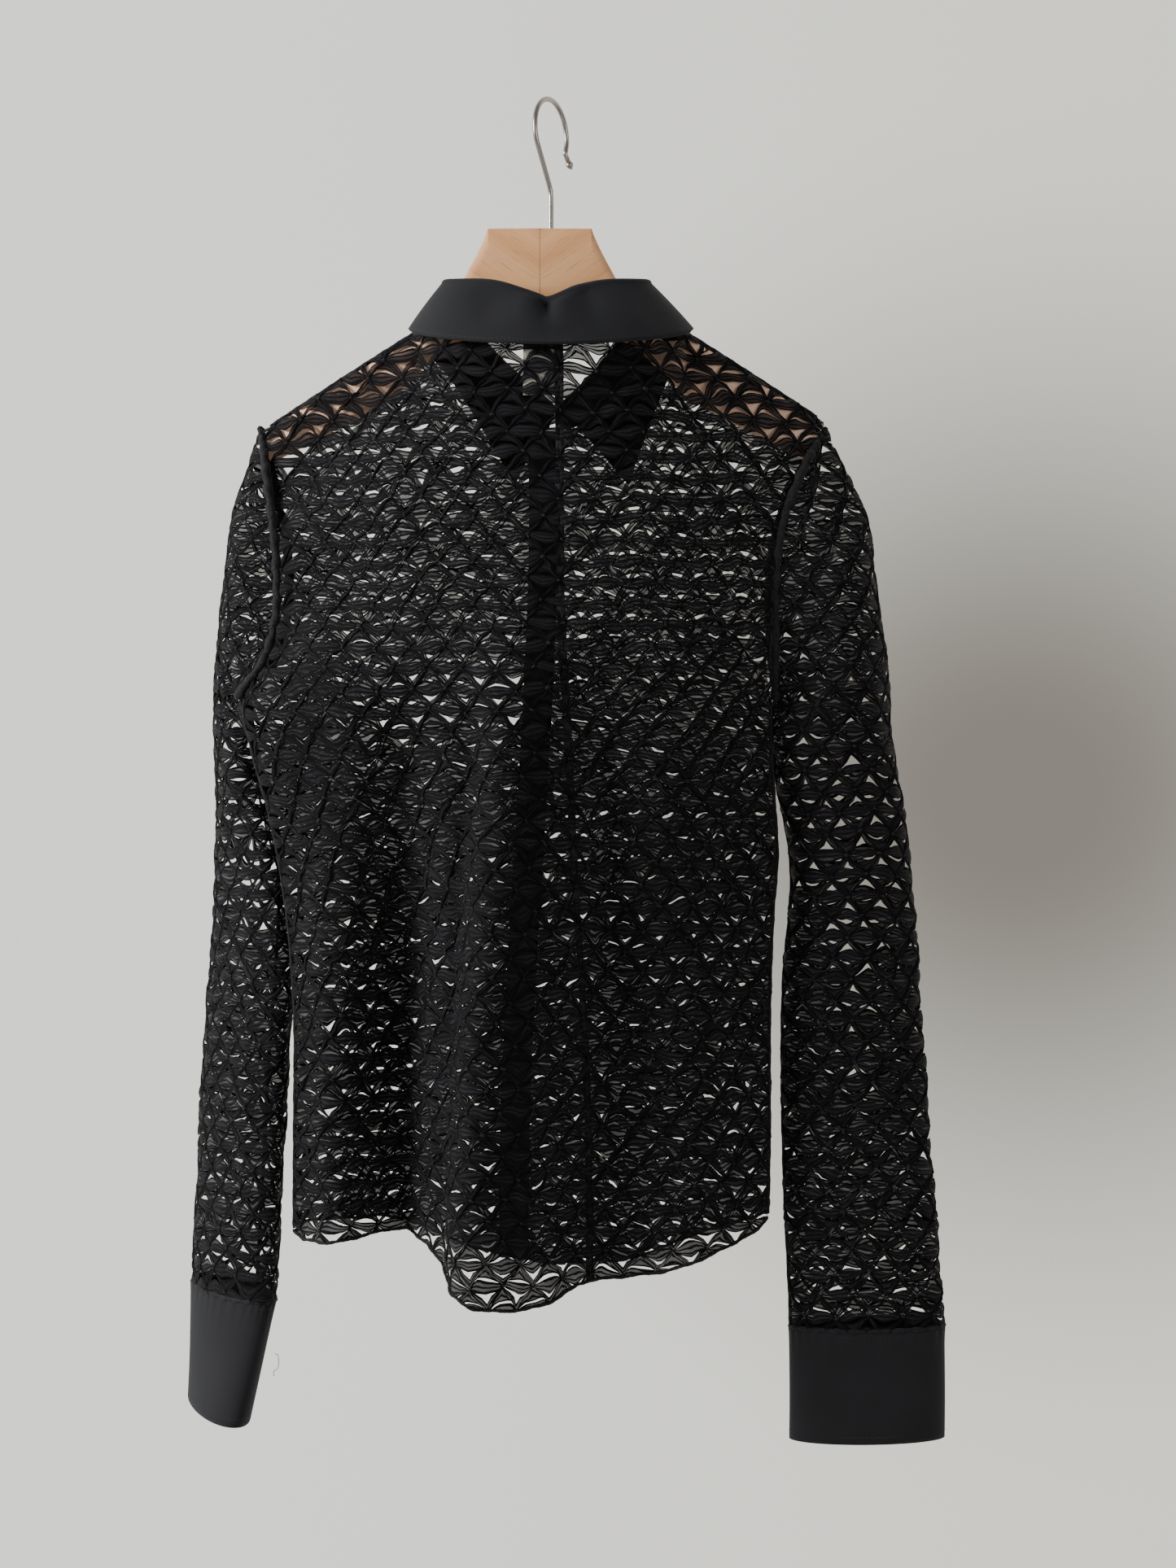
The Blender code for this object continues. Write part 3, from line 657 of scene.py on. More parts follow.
def body_map(side: Side) -> ClothMap:
    """Make the table of the back's or the front's form."""
    plan = [(depth, 0.0) for depth in np.linspace(SHOULDER_START, 36.0, 22)]
    plan += [(36.0, share) for share in np.linspace(0, 1, 24)[1:]]
    plan += [(36.0, share) for share in np.linspace(1, 2, 44)[1:]]
    grid = np.array([body_row(depth, share, side) for depth, share in plan])
    fall = np.arange(150.0, 806.0, 1.25)
    points = np.empty((len(fall), FINE, 3))
    for j in range(FINE):
        down = -grid[:, j, 2]
        for k in range(2):
            points[:, j, k] = np.interp(fall, down, grid[:, j, k])
    points[:, :, 2] = -fall[:, None]
    steps = np.linalg.norm(np.diff(points[:, :, :2], axis=1), axis=2)
    s = np.concatenate([np.zeros((len(fall), 1)), np.cumsum(steps, axis=1)], axis=1)
    line = BACK_SEAM if side is Side.BACK else FRONT_LINE
    for row, z in enumerate(-fall):
        s[row] -= np.interp(centre_line(z, line), points[row, :, 0], s[row])
    edges = []
    for row in (grid[0], grid[-1]):
        t = -row[:, 2]
        at = np.array([np.interp(t[j], fall, s[:, j]) for j in range(FINE)])
        order = np.argsort(at)
        edges.append((at[order], t[order]))
    even, table = even_table(s, points, 2.0)
    name = "back" if side is Side.BACK else "front"
    outward = 1.0 if side is Side.FRONT else -1.0
    outward = -outward if np.cross((1, 0, 0), (0, 0, -1))[1] < 0 else outward
    return ClothMap(even, fall, table, edges[0], edges[1], s[:, 0], s[:, -1], CREASES[name], outward)


def sleeve_map(hand: Hand) -> ClothMap:
    """Make the table of a sleeve's form, opened at its underarm seam."""
    angle = np.linspace(-math.pi, math.pi, FINE + 1)
    foot_t = -CUFF_TOPS[hand]
    fall = np.arange(212.5, foot_t + 1.0, 2.5)
    points = np.array([sleeve_level(angle, -t, hand) for t in fall])
    steps = np.linalg.norm(np.diff(points[:, :, :2], axis=1), axis=2)
    s = np.concatenate([np.zeros((len(fall), 1)), np.cumsum(steps, axis=1)], axis=1)
    s -= s[:, FINE // 2][:, None]
    edge = armhole(angle, hand)
    top = (np.array([np.interp(-edge[j, 2], fall, s[:, j]) for j in range(FINE + 1)]), -edge[:, 2])
    foot = (np.array([-200.0, 200.0]), np.array([foot_t, foot_t]))
    points[:, :, 2] = -fall[:, None]
    even, table = even_table(s, points, 2.0)
    middle = len(fall) // 2
    ahead = points[middle, FINE // 2 + 1] - points[middle, FINE // 2 - 1]
    outward = math.copysign(1.0, np.cross(ahead, (0, 0, -1))[0]) * hand.value
    creases = CREASES["sleeve_left" if hand is Hand.LEFT else "sleeve_right"]
    return ClothMap(even, fall, table, top, foot, s[:, 0], s[:, -1], creases, outward)


# Finishes
def new_material(name: str) -> tuple[Material, Tree, bpy.types.Node]:
    """Make an empty node material and return it, its tree and its Principled shader."""
    material = bpy.data.materials.new(name)
    material.use_nodes = True
    tree = material.node_tree
    return material, tree, tree.nodes["Principled BSDF"]


def dress(surface: bpy.types.Node, values: dict[str, float]) -> None:
    """Set inputs of a shader by name."""
    for name, value in values.items():
        surface.inputs[name].default_value = value


def math_node(tree: Tree, operation: str, *values: object) -> Socket:
    """Add a Math node fed by sockets or numbers and return its result."""
    node = tree.nodes.new("ShaderNodeMath")
    node.operation = operation
    for k, value in enumerate(values):
        if isinstance(value, Socket):
            tree.links.new(value, node.inputs[k])
        else:
            node.inputs[k].default_value = value
    return node.outputs[0]


def times(tree: Tree, *values: object) -> Socket:
    """Multiply two values."""
    return math_node(tree, "MULTIPLY", *values)


def plus(tree: Tree, *values: object) -> Socket:
    """Add two values."""
    return math_node(tree, "ADD", *values)


def mix_colour(
    tree: Tree, factor: Socket, first: Sequence[float], second: Sequence[float]
) -> Socket:
    """Mix two colours by a factor and return the colour."""
    node = tree.nodes.new("ShaderNodeMix")
    node.data_type = "RGBA"
    tree.links.new(factor, node.inputs["Factor"])
    for name, value in (("A", first), ("B", second)):
        socket = [s for s in node.inputs if s.name == name and s.type == "RGBA"][0]
        if isinstance(value, Socket):
            tree.links.new(value, socket)
        else:
            socket.default_value = (*value, 1.0)
    return [s for s in node.outputs if s.type == "RGBA"][0]


def bump(
    tree: Tree, height: Socket, distance: float, strength: float = 1.0
) -> None:
    """Feed a height into the normal of the tree's Principled shader."""
    node = tree.nodes.new("ShaderNodeBump")
    node.inputs["Strength"].default_value = strength
    node.inputs["Distance"].default_value = distance
    tree.links.new(height, node.inputs["Height"])
    tree.links.new(node.outputs["Normal"], tree.nodes["Principled BSDF"].inputs["Normal"])


def uv_parts(tree: Tree, name: str) -> tuple[Socket, Socket]:
    """Return the two coordinates of a UV map."""
    node = tree.nodes.new("ShaderNodeUVMap")
    node.uv_map = name
    split = tree.nodes.new("ShaderNodeSeparateXYZ")
    tree.links.new(node.outputs[0], split.inputs[0])
    return split.outputs["X"], split.outputs["Y"]


def noise(
    tree: Tree, scale: float, detail: float, stretch: Sequence[float] = (1, 1, 1)
) -> Socket:
    """Add noise on Object coordinates and return its value."""
    place = tree.nodes.new("ShaderNodeTexCoord")
    mapping = tree.nodes.new("ShaderNodeMapping")
    mapping.inputs["Scale"].default_value = stretch
    tree.links.new(place.outputs["Object"], mapping.inputs[0])
    node = tree.nodes.new("ShaderNodeTexNoise")
    node.inputs["Scale"].default_value = scale
    node.inputs["Detail"].default_value = detail
    tree.links.new(mapping.outputs[0], node.inputs["Vector"])
    return node.outputs[0]


def shade(colour: Sequence[float], factor: float) -> tuple[float, ...]:
    """Return a colour made darker or paler."""
    return tuple(c * factor for c in colour)


def ramp(
    tree: Tree, value: Socket, low: float, high: float
) -> Socket:
    """Map a value smoothly from low..high to 0..1."""
    node = tree.nodes.new("ShaderNodeMapRange")
    node.interpolation_type = "SMOOTHSTEP"
    node.inputs["From Min"].default_value = low
    node.inputs["From Max"].default_value = high
    tree.links.new(value, node.inputs["Value"])
    return node.outputs[0]


def weave_group() -> Tree:
    """Make, once, the group of a plain weave: two UV coordinates in, thread height out."""
    found = bpy.data.node_groups.get("Plain weave")
    if found:
        return found
    group = bpy.data.node_groups.new("Plain weave", "ShaderNodeTree")
    for name in ("Across", "Along", "Threads"):
        group.interface.new_socket(name=name, in_out="INPUT", socket_type="NodeSocketFloat")
    group.interface.new_socket(name="Height", in_out="OUTPUT", socket_type="NodeSocketFloat")
    start = group.nodes.new("NodeGroupInput")
    end = group.nodes.new("NodeGroupOutput")
    waves = []
    for name in ("Across", "Along"):
        turned = math_node(group, "MULTIPLY", start.outputs[name], start.outputs["Threads"])
        waves.append(math_node(group, "SINE", turned))
    checks = math_node(group, "MULTIPLY", *waves)
    rise = math_node(group, "ABSOLUTE", checks)
    group.links.new(rise, end.inputs["Height"])
    return group


def add_weave(tree: Tree, uv_map: str, threads: float) -> Socket:
    """Place the weave group on a UV map and return the thread height."""
    across, along = uv_parts(tree, uv_map)
    node = tree.nodes.new("ShaderNodeGroup")
    node.node_tree = weave_group()
    tree.links.new(across, node.inputs["Across"])
    tree.links.new(along, node.inputs["Along"])
    node.inputs["Threads"].default_value = threads
    return node.outputs["Height"]


@dataclass(frozen=True)
class OrgandyFinish:
    """Semi-sheer black organdy, pleated from knot to knot, with corded edges.

    Attributes:
        cloth: Colour of the flat cloth between pleats.
        cord: Colour of pleats, edges and knots.
        clear: How much of what is behind it the flat cloth hides near the hem.
        clear_above: How much it hides near the shoulders.
        clear_fall: Falls between which it goes from one to the other, in millimetres.
        cord_width: Width of a corded edge in millimetres.
        pleat: Share of the cloth that its pleats take.
    """

    name: str = "organdy"
    cloth: tuple[float, float, float] = (0.0140, 0.0122, 0.0146)
    cord: tuple[float, float, float] = (0.0042, 0.0035, 0.0044)
    clear: float = 0.91
    clear_above: float = 0.78
    clear_fall: tuple[float, float] = (330.0, 540.0)
    cord_width: float = 0.95
    pleat: float = 0.3

    def sheer(self) -> Material:
        """Make the cloth's material, which reads the gather, lattice and flat maps."""
        material, tree, surface = new_material(self.name)
        edge, phase = uv_parts(tree, "gather")
        lattice, across = uv_parts(tree, "lattice")
        from_edge = ramp(tree, edge, self.cord_width * 0.7, self.cord_width * 1.25)
        uneven = noise(tree, 130.0, 3.0)
        bent = plus(tree, phase, times(tree, uneven, 0.9))
        ridge = math_node(tree, "PINGPONG", bent, 0.5)
        toward_knot = math_node(tree, "POWER", math_node(tree, "ABSOLUTE", across), 2.5)
        near_knot = times(tree, toward_knot, 0.3)
        shut = plus(tree, near_knot, self.pleat * 0.5)
        clear_of = math_node(tree, "SUBTRACT", ridge, shut)
        between = ramp(tree, clear_of, -0.02, 0.1)
        strand = math_node(tree, "PINGPONG", plus(tree, lattice, 0.35), 0.62)
        from_lattice = ramp(tree, strand, 0.1, 0.34)
        far = ramp(tree, lattice, 1.1, 1.8)
        from_lattice = math_node(tree, "MAXIMUM", from_lattice, far)
        flat = times(tree, from_edge, times(tree, between, from_lattice))
        cloudy = ramp(tree, noise(tree, 60.0, 3.0), 0.35, 0.68)
        cloth = mix_colour(tree, cloudy, shade(self.cloth, 0.7), shade(self.cloth, 1.4))
        colour = mix_colour(tree, flat, self.cord, cloth)
        tree.links.new(colour, surface.inputs["Base Color"])
        open_part = times(tree, flat, math_node(tree, "MULTIPLY_ADD", cloudy, 0.45, 0.55))
        fall = uv_parts(tree, "flat")[1]
        lower = ramp(tree, fall, *self.clear_fall)
        span = self.clear - self.clear_above
        hidden = math_node(tree, "MULTIPLY_ADD", lower, span, self.clear_above - 1.0)
        seen = math_node(tree, "MULTIPLY_ADD", open_part, hidden, 1.0)
        tree.links.new(seen, surface.inputs["Alpha"])
        pleats = times(tree, math_node(tree, "SUBTRACT", 1.0, between), from_edge)
        cords = plus(tree, math_node(tree, "SUBTRACT", 1.0, from_edge), pleats)
        weave = times(tree, add_weave(tree, "flat", 9.0), 0.15)
        bump(tree, plus(tree, cords, weave), 0.0005, 0.9)
        dress(surface, {
            "Roughness": 0.68, "Sheen Weight": 0.03, "Sheen Roughness": 0.5, "Specular IOR Level": 0.08,
        })
        return material

    def corded(self) -> Material:
        """Make the opaque material of knots, rolls and seams."""
        material, tree, surface = new_material(f"{self.name}_cord")
        strands = noise(tree, 600.0, 3.0)
        lumps_of = noise(tree, 160.0, 2.0)
        height = plus(tree, strands, times(tree, lumps_of, 1.5))
        colour = mix_colour(tree, ramp(tree, strands, 0.35, 0.7), self.cord, shade(self.cord, 3.0))
        tree.links.new(colour, surface.inputs["Base Color"])
        bump(tree, height, 0.0009, 0.9)
        dress(surface, {"Roughness": 0.75, "Sheen Weight": 0.05, "Specular IOR Level": 0.25})
        return material


# Meshes
def link_mesh(name: str, data: Mesh, materials: Sequence[Material]) -> Piece:
    """Link a mesh as an object at the origin, shaded smooth."""
    item = bpy.data.objects.new(name, data)
    bpy.context.scene.collection.objects.link(item)
    for material in materials:
        item.data.materials.append(material)
    item.data.shade_smooth()
    return item


def finished(item: Piece, name: str) -> Mesh:
    """Apply an object's modifiers into a new mesh and remove the object."""
    bpy.context.view_layer.update()
    shown = item.evaluated_get(bpy.context.evaluated_depsgraph_get())
    data = bpy.data.meshes.new_from_object(shown)
    data.name = name
    bpy.data.objects.remove(item)
    return data


def coordinates(data: Mesh) -> Array:
    """Read a mesh's vertices."""
    flat = np.empty(len(data.vertices) * 3)
    data.vertices.foreach_get("co", flat)
    return flat.reshape(-1, 3)


def set_coordinates(data: Mesh, points: Array) -> None:
    """Write a mesh's vertices."""
    data.vertices.foreach_set("co", np.ascontiguousarray(points, dtype=np.float32).ravel())
    data.update()


def set_uv(data: Mesh, name: str, pairs: Array) -> None:
    """Write a UV map from a pair for each vertex."""
    layer = data.uv_layers.get(name) or data.uv_layers.new(name=name)
    of_vertex = np.empty(len(data.loops), int)
    data.loops.foreach_get("vertex_index", of_vertex)
    layer.data.foreach_set("uv", np.ascontiguousarray(pairs[of_vertex], dtype=np.float32).ravel())


class Gaps(NamedTuple):
    """Sizes of one cell's two gaps, in millimetres and shares of half a cell."""

    slot_rise: float
    slot_half: float
    slot_reach: float
    slant: float
    petal_drop: float
    smile_foot: float
    lean: float
    swell: float


@dataclass(frozen=True)
class LaceTile:
    """The lace's repeat: a block of diamond cells, each a little different from the next.

    A cell has a knot at each of its four corners. Its cloth is cut by a slim slot above the
    middle and a wide smile below it; a lens-shaped petal stays between the two. Every second
    row stands half a cell along.

    Attributes:
        wide: Distance between knots of a row.
        tall: Height of a diamond.
        columns: Faces across a cell.
        across: Cells along the tile.
        down: Rows of diamonds, each with the half-stepped row under it.
        seed: Start of the unevenness.
    """

    wide: float = 23.0
    tall: float = 28.5
    columns: int = 8
    across: int = 4
    down: int = 3
    seed: int = 11

    def lines(self, u: float, gaps: Gaps) -> list[float]:
        """Return the heights of a cell's six lines at u, from -1 at one knot to 1 at the next."""
        side = 1 - abs(u)
        half = self.tall / 2
        top, bottom = half * side, -half * side
        base = gaps.slot_rise * (1 - abs(u) ** 2.2) + gaps.slant * u * (1 - u * u)
        opened = max(1 - (u / gaps.slot_reach) ** 2, 0.0) ** 0.55
        above = min(base + gaps.slot_half * opened, top)
        below = min(base - gaps.slot_half * opened, top)
        petal = -gaps.petal_drop * (1 - u * u)
        v = u - gaps.lean * (1 - u * u)
        foot = bottom + gaps.smile_foot * min(1.0, 1.75 * side) - 0.8 * math.exp(-((v / 0.25) ** 2))
        foot = max(bottom, min(foot, petal))
        return [top, above, min(below, above), petal, foot, bottom]

    def add_patch(
        self, mesh: Bmesh, rows: Sequence[float], edges: tuple[int, int],
        gaps: Gaps, pleats: tuple[float, float], swell: Callable[[float, float], float], at: Vector,
    ) -> None:
        """Add one patch of a cell's cloth.

        Args:
            mesh: The mesh to add to.
            rows: Shares from the patch's upper line to its lower one.
            edges: Which of the cell's lines those two are.
            gaps: The cell's sizes.
            pleats: How many pleats run across the patch, and where they start.
            swell: Height of the cloth at (u, share).
            at: The cell's middle.
        """
        made = bmesh.ops.create_grid(mesh, x_segments=self.columns, y_segments=len(rows) - 1, size=1.0)
        gather, lattice = mesh.loops.layers.uv["gather"], mesh.loops.layers.uv["lattice"]
        shut = mesh.verts.layers.float["shut"]
        slope = math.cos(math.atan2(self.tall, self.wide))
        notes = {}
        for vert in made["verts"]:
            u = vert.co.x
            row = round((1 - vert.co.y) / 2 * (len(rows) - 1))
            share = rows[row]
            lines = self.lines(u, gaps)
            upper, lower = lines[edges[0]], lines[edges[1]]
            y = upper + (lower - upper) * share
            above = upper - y if edges[0] > 0 else 9.0
            under = y - lower if edges[1] < 5 else 9.0
            off = min(lines[0] - y, y - lines[5]) * slope
            notes[vert] = ((min(above, under), pleats[1] + pleats[0] * share), (off, u))
            slot, smile = (lines[1] - lines[2]) / 2, (lines[3] - lines[4]) / 2
            start, end = ((0.0, slot), (-slot, smile), (-smile, 0.0))[edges[0] // 2]
            vert[shut] = start + (end - start) * share
            vert.co = Vector((at.x + u * self.wide / 2, at.y + y, swell(u, share)))
        for face in {face for vert in made["verts"] for face in vert.link_faces}:
            for loop in face.loops:
                loop[gather].uv, loop[lattice].uv = notes[loop.vert]

    def add_knot(self, mesh: Bmesh, at: Vector, turn: float) -> None:
        """Add a gathered knot."""
        made = bmesh.ops.create_icosphere(mesh, subdivisions=1, radius=1.0)
        c, s = math.cos(turn), math.sin(turn)
        for vert in made["verts"]:
            x, y = vert.co.x * 1.8, vert.co.y * 1.1
            vert.co = Vector((at.x + x * c - y * s, at.y + x * s + y * c, 0.45 + vert.co.z * 0.9))
        for face in {face for vert in made["verts"] for face in vert.link_faces}:
            face.material_index = 1

    def add_cell(self, mesh: Bmesh, at: Vector, slant: float, rng: np.random.Generator) -> None:
        """Add a diamond cell with gaps of its own sizes."""
        a, b, c, d, e, f, g = rng.uniform(-1, 1, 7)
        gaps = Gaps(
            slot_rise=5.0 + 0.6 * a, slot_half=1.15 + 0.4 * b, slot_reach=0.66 + 0.08 * c,
            slant=slant * (2.6 + 1.2 * d), petal_drop=4.5 + 0.8 * e, smile_foot=4.0 + 0.9 * f,
            lean=0.12 * g, swell=1.0 + 0.25 * a,
        )
        folds = rng.uniform(0, 1, 3)
        self.add_patch(
            mesh, (0.0, 0.07, 0.17, 0.5, 0.86, 1.0), (0, 1), gaps, (2.0, folds[0]),
            lambda u, v: 1.1 * math.exp(-(((v - 0.07) / 0.06) ** 2))
            - 0.45 * math.sin(math.pi * v) * (1 - u * u) + 0.3 * smooth(0.8, 1.0, v), at,
        )
        self.add_patch(
            mesh, (0.0, 0.09, 0.35, 0.65, 0.91, 1.0), (2, 3), gaps, (3.0, folds[1]),
            lambda u, v: 0.2 + gaps.swell * math.sin(math.pi * v) * (1 - u * u)
            + 0.3 * abs(2 * v - 1) ** 6, at,
        )
        self.add_patch(
            mesh, (0.0, 0.16, 0.6, 0.87, 1.0), (4, 5), gaps, (2.0, folds[2]),
            lambda u, v: 1.1 * math.exp(-(((1 - v - 0.1) / 0.07) ** 2)) + 0.3 * (1 - smooth(0.0, 0.3, v)), at,
        )
        self.add_knot(mesh, at + Vector((-self.wide / 2, 0, 0)), rng.uniform(-0.7, 0.7))

    def build(self) -> Mesh:
        """Build the tile flat, x across and y up, heights in z, all in millimetres."""
        mesh = bmesh.new()
        for name in ("gather", "lattice"):
            mesh.loops.layers.uv.new(name)
        mesh.verts.layers.float.new("shut")
        rng = np.random.default_rng(self.seed)
        for row in range(2 * self.down):
            for k in range(self.across):
                at = Vector(((k + (row % 2) / 2) * self.wide, -row * self.tall / 2, 0.0))
                self.add_cell(mesh, at, 1.0 - 2.0 * (row % 2), rng)
        bmesh.ops.remove_doubles(mesh, verts=mesh.verts[:], dist=0.02)
        data = bpy.data.meshes.new("lace_tile")
        mesh.to_mesh(data)
        mesh.free()
        return data


def wobble(s: Array, t: Array, seed: float) -> tuple[Array, Array, Array]:
    """Make the repeat uneven, as handled cloth is.

    Args:
        s: Flat widths.
        t: Falls.
        seed: Where the unevenness starts.

    Returns:
        Steps in s and t, and a height.
    """
    s, t = s + 37.0 * seed, t + 53.0 * seed
    ds = 1.3 * np.sin(0.071 * t + 0.9 * np.sin(0.043 * s)) + 0.8 * np.sin(0.19 * s + 0.13 * t)
    ds = ds + 0.75 * np.sin(0.37 * t + 0.31 * s + 2 * np.sin(0.023 * s))
    dt = 1.5 * np.sin(0.083 * s + 1.1 * np.sin(0.031 * t)) + 0.8 * np.sin(0.21 * t - 0.11 * s + 2)
    dt = dt + 0.8 * np.sin(0.33 * s - 0.29 * t + 3 * np.sin(0.019 * t))
    height = 0.5 * np.sin(0.11 * s + 0.07 * t) + 0.4 * np.sin(0.23 * s - 0.17 * t + 1)
    return ds, dt, height


class Drawn(NamedTuple):
    """An area where the lace hangs drawn together, with its gaps part shut."""

    x: float
    fall: float
    wide: float
    tall: float
    share: float


DRAWN = (
    Drawn(-112.0, 640.0, 34.0, 200.0, 0.35),
    Drawn(-48.0, 560.0, 30.0, 260.0, 0.5),
    Drawn(-10.0, 700.0, 26.0, 130.0, 0.3),
    Drawn(38.0, 420.0, 20.0, 170.0, 0.3),
    Drawn(92.0, 560.0, 36.0, 210.0, 0.4),
    Drawn(-150.0, 320.0, 30.0, 130.0, 0.25),
    Drawn(-170.0, 425.0, 26.0, 80.0, 0.8),
)


def tightness(node: str, s: Array, t: Array) -> Array:
    """Return how far shut the lace's gaps hang, 0 as cut and 1 shut.

    Args:
        node: The piece.
        s: Flat widths.
        t: Falls.
    """
    if node.startswith("sleeve"):
        return 0.2 + 0.2 * np.sin(s / 19.0 + 0.5) + 0.12 * np.sin(t / 47.0)
    held = 0.1 * smooth(190.0, 260.0, t) + 0.14 * smooth(380.0, 560.0, t)
    held = held + 0.08 * np.sin(t / 31.0 + s / 23.0) - 0.06
    for area in DRAWN:
        off = ((s - area.x) / area.wide) ** 2 + ((t - area.fall) / area.tall) ** 2
        held = held + area.share * np.exp(-off)
    return np.clip(held, -0.1, 0.85)


@dataclass
class LacePanel:
    """A cut piece of lace, hung on a cloth map.

    Attributes:
        node: Name of the node that it stands for.
        form: The hung form.
        first: Left limit in flat width, where the piece ends at a centre line.
        last: Right limit.
        shift: How far the repeat is moved along, as it was when the piece was cut.
        drop: How far it is moved down.
        seed: Where its unevenness starts.
        turned: Whether the piece is cut with the repeat upside down.
    """

    node: str
    form: ClothMap
    first: float
    last: float
    shift: float = 0.0
    drop: float = 0.0
    seed: float = 0.0
    turned: bool = False

    def cut(self) -> tuple[tuple[float, float], float]:
        """Measure what the piece is cut from, along its hung form.

        Returns:
            Width and length of the upright rectangle that holds it, and the
            piece's own area, in metres and square metres.
        """
        form = self.form
        s = np.arange(max(form.left.min(), self.first), min(form.right.max(), self.last), CUT_STEP)
        t = np.arange(form.top[1].min(), form.foot[1].max(), CUT_STEP)
        across, fall = (grid.ravel() for grid in np.meshgrid(s, t))
        held_s, held_t = form.hold(across, fall, self.first, self.last)
        inside = (np.hypot(held_s - across, held_t - fall) < 1e-6).reshape(len(t), len(s))
        points = form.read(form.points, across, fall).reshape(len(t), len(s), 3)
        along, down = np.diff(points[:-1], axis=1), np.diff(points[:, :-1], axis=0)
        cells = np.linalg.norm(np.cross(along, down), axis=2) * inside[:-1, :-1]
        longest = float((np.linalg.norm(down, axis=2) * inside[:-1, :-1]).sum(axis=0).max())
        wide = float(np.ptp(s[inside.any(axis=0)]))
        tall = max(longest, float(np.ptp(t[inside.any(axis=1)])))
        return (round(wide * MM, 3), round(tall * MM, 3)), round(float(cells.sum()) * MM**2, 4)

    def arrayed(self, tile: LaceTile) -> Mesh:
        """Repeat the lace flat over the piece's whole outline."""
        wide, tall = tile.wide * tile.across, tile.tall * tile.down
        low = max(float(self.form.left.min()), self.first) - tile.wide
        high = min(float(self.form.right.max()), self.last) + tile.wide
        upper = float(self.form.top[1].min()) - tile.tall
        lower = float(self.form.foot[1].max()) + tile.tall
        start_x = math.floor((low - self.shift) / wide) * wide + self.shift
        start_t = math.floor((upper - self.drop) / tall) * tall + self.drop
        across = math.ceil((high - start_x) / wide)
        down = math.ceil((lower - start_t) / tall)
        item = bpy.data.objects.new("repeat", tile.build())
        bpy.context.scene.collection.objects.link(item)
        for count, offset in ((across, (wide, 0, 0)), (down, (0, -tall, 0))):
            array = item.modifiers.new("Repeat", "ARRAY")
            array.count = count
            array.use_relative_offset = False
            array.use_constant_offset = True
            array.constant_offset_displace = offset
            array.use_merge_vertices = True
            array.merge_threshold = 0.02
        data = finished(item, f"lace_{self.node}")
        points = coordinates(data)
        points[:, 0] += start_x
        points[:, 1] -= start_t
        set_coordinates(data, points)
        return data

    def build(self, tile: LaceTile, materials: Sequence[Material]) -> Piece:
        """Args:
            tile: The lace's repeat.
            materials: The sheer cloth and the cords.

        Returns:
            The finished piece.
        """
        data = self.arrayed(tile)
        points = coordinates(data)
        s, t, height = points[:, 0], -points[:, 1], points[:, 2]
        closing = np.empty(len(points))
        data.attributes["shut"].data.foreach_get("value", closing)
        ds, dt, rise = wobble(s, t, self.seed)
        dt = dt + closing * tightness(self.node, s, t)
        if self.turned:
            low, high = self.form.top[1].min(), self.form.foot[1].max()
            t, dt = low + high - t, -dt
        s, t = s + ds, t + dt
        held_s, held_t = self.form.hold(s, t, self.first, self.last)
        moved = np.hypot(held_s - s, held_t - t)
        height = (height + rise) * np.exp(-moved / 3.0)
        placed = self.form.place(held_s, held_t, height) * MM
        self.trim(data, moved, np.stack([held_s, held_t], axis=1), placed)
        item = link_mesh(f"lace_{self.node}", data, materials)
        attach(item, ROOT)
        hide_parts(self.node)
        flat, area = self.cut()
        LOG.info("%s: %d faces", item.name, len(data.polygons))
        return item

    def trim(self, data: Mesh, moved: Array, flat: Array, placed: Array) -> None:
        """Cut away what lies outside the outline, and move the rest to its place.

        Args:
            data: The arrayed mesh, changed in place.
            moved: How far each vertex was brought in to the outline.
            flat: The held flat place of each vertex.
            placed: Its place on the hung cloth.
        """
        set_uv(data, "flat", flat)
        mesh = bmesh.new()
        mesh.from_mesh(data)
        mesh.verts.ensure_lookup_table()
        spare = []
        for face in mesh.faces:
            ids = [vert.index for vert in face.verts]
            if min(moved[k] for k in ids) > 0.01:
                spare.append(face)
                continue
            if max(moved[k] for k in ids) > 0.01:
                corners = flat[ids]
                nxt = np.roll(corners, -1, axis=0)
                size = abs(float((corners[:, 0] * nxt[:, 1] - corners[:, 1] * nxt[:, 0]).sum())) / 2
                if size < 0.05:
                    spare.append(face)
        for vert in mesh.verts:
            vert.co = placed[vert.index]
        bmesh.ops.delete(mesh, geom=spare, context="FACES")
        bmesh.ops.dissolve_degenerate(mesh, edges=mesh.edges[:], dist=1e-6)
        if self.form.outward < 0:
            bmesh.ops.reverse_faces(mesh, faces=mesh.faces[:])
        mesh.to_mesh(data)
        mesh.free()


@dataclass(frozen=True)
class CottonFinish:
    """Matt black plain-woven cotton."""

    name: str = "cotton"
    colour: tuple[float, float, float] = (0.0088, 0.0088, 0.0105)

    def build(self) -> Material:
        """Make the material, whose weave follows the cloth's flat map."""
        material, tree, surface = new_material(self.name)
        weave = add_weave(tree, "flat", 7.0)
        cloudy = ramp(tree, noise(tree, 18.0, 4.0), 0.3, 0.7)
        low = mix_colour(tree, weave, shade(self.colour, 0.6), shade(self.colour, 1.25))
        colour = mix_colour(tree, cloudy, low, shade(self.colour, 1.3))
        tree.links.new(colour, surface.inputs["Base Color"])
        fuzz = times(tree, noise(tree, 1400.0, 2.0), 0.5)
        bump(tree, plus(tree, weave, fuzz), 0.00012, 0.8)
        dress(surface, {
            "Roughness": 0.78, "Sheen Weight": 0.08, "Sheen Roughness": 0.45,
            "Sheen Tint": (0.75, 0.78, 0.9, 1), "Specular IOR Level": 0.25,
        })
        return material


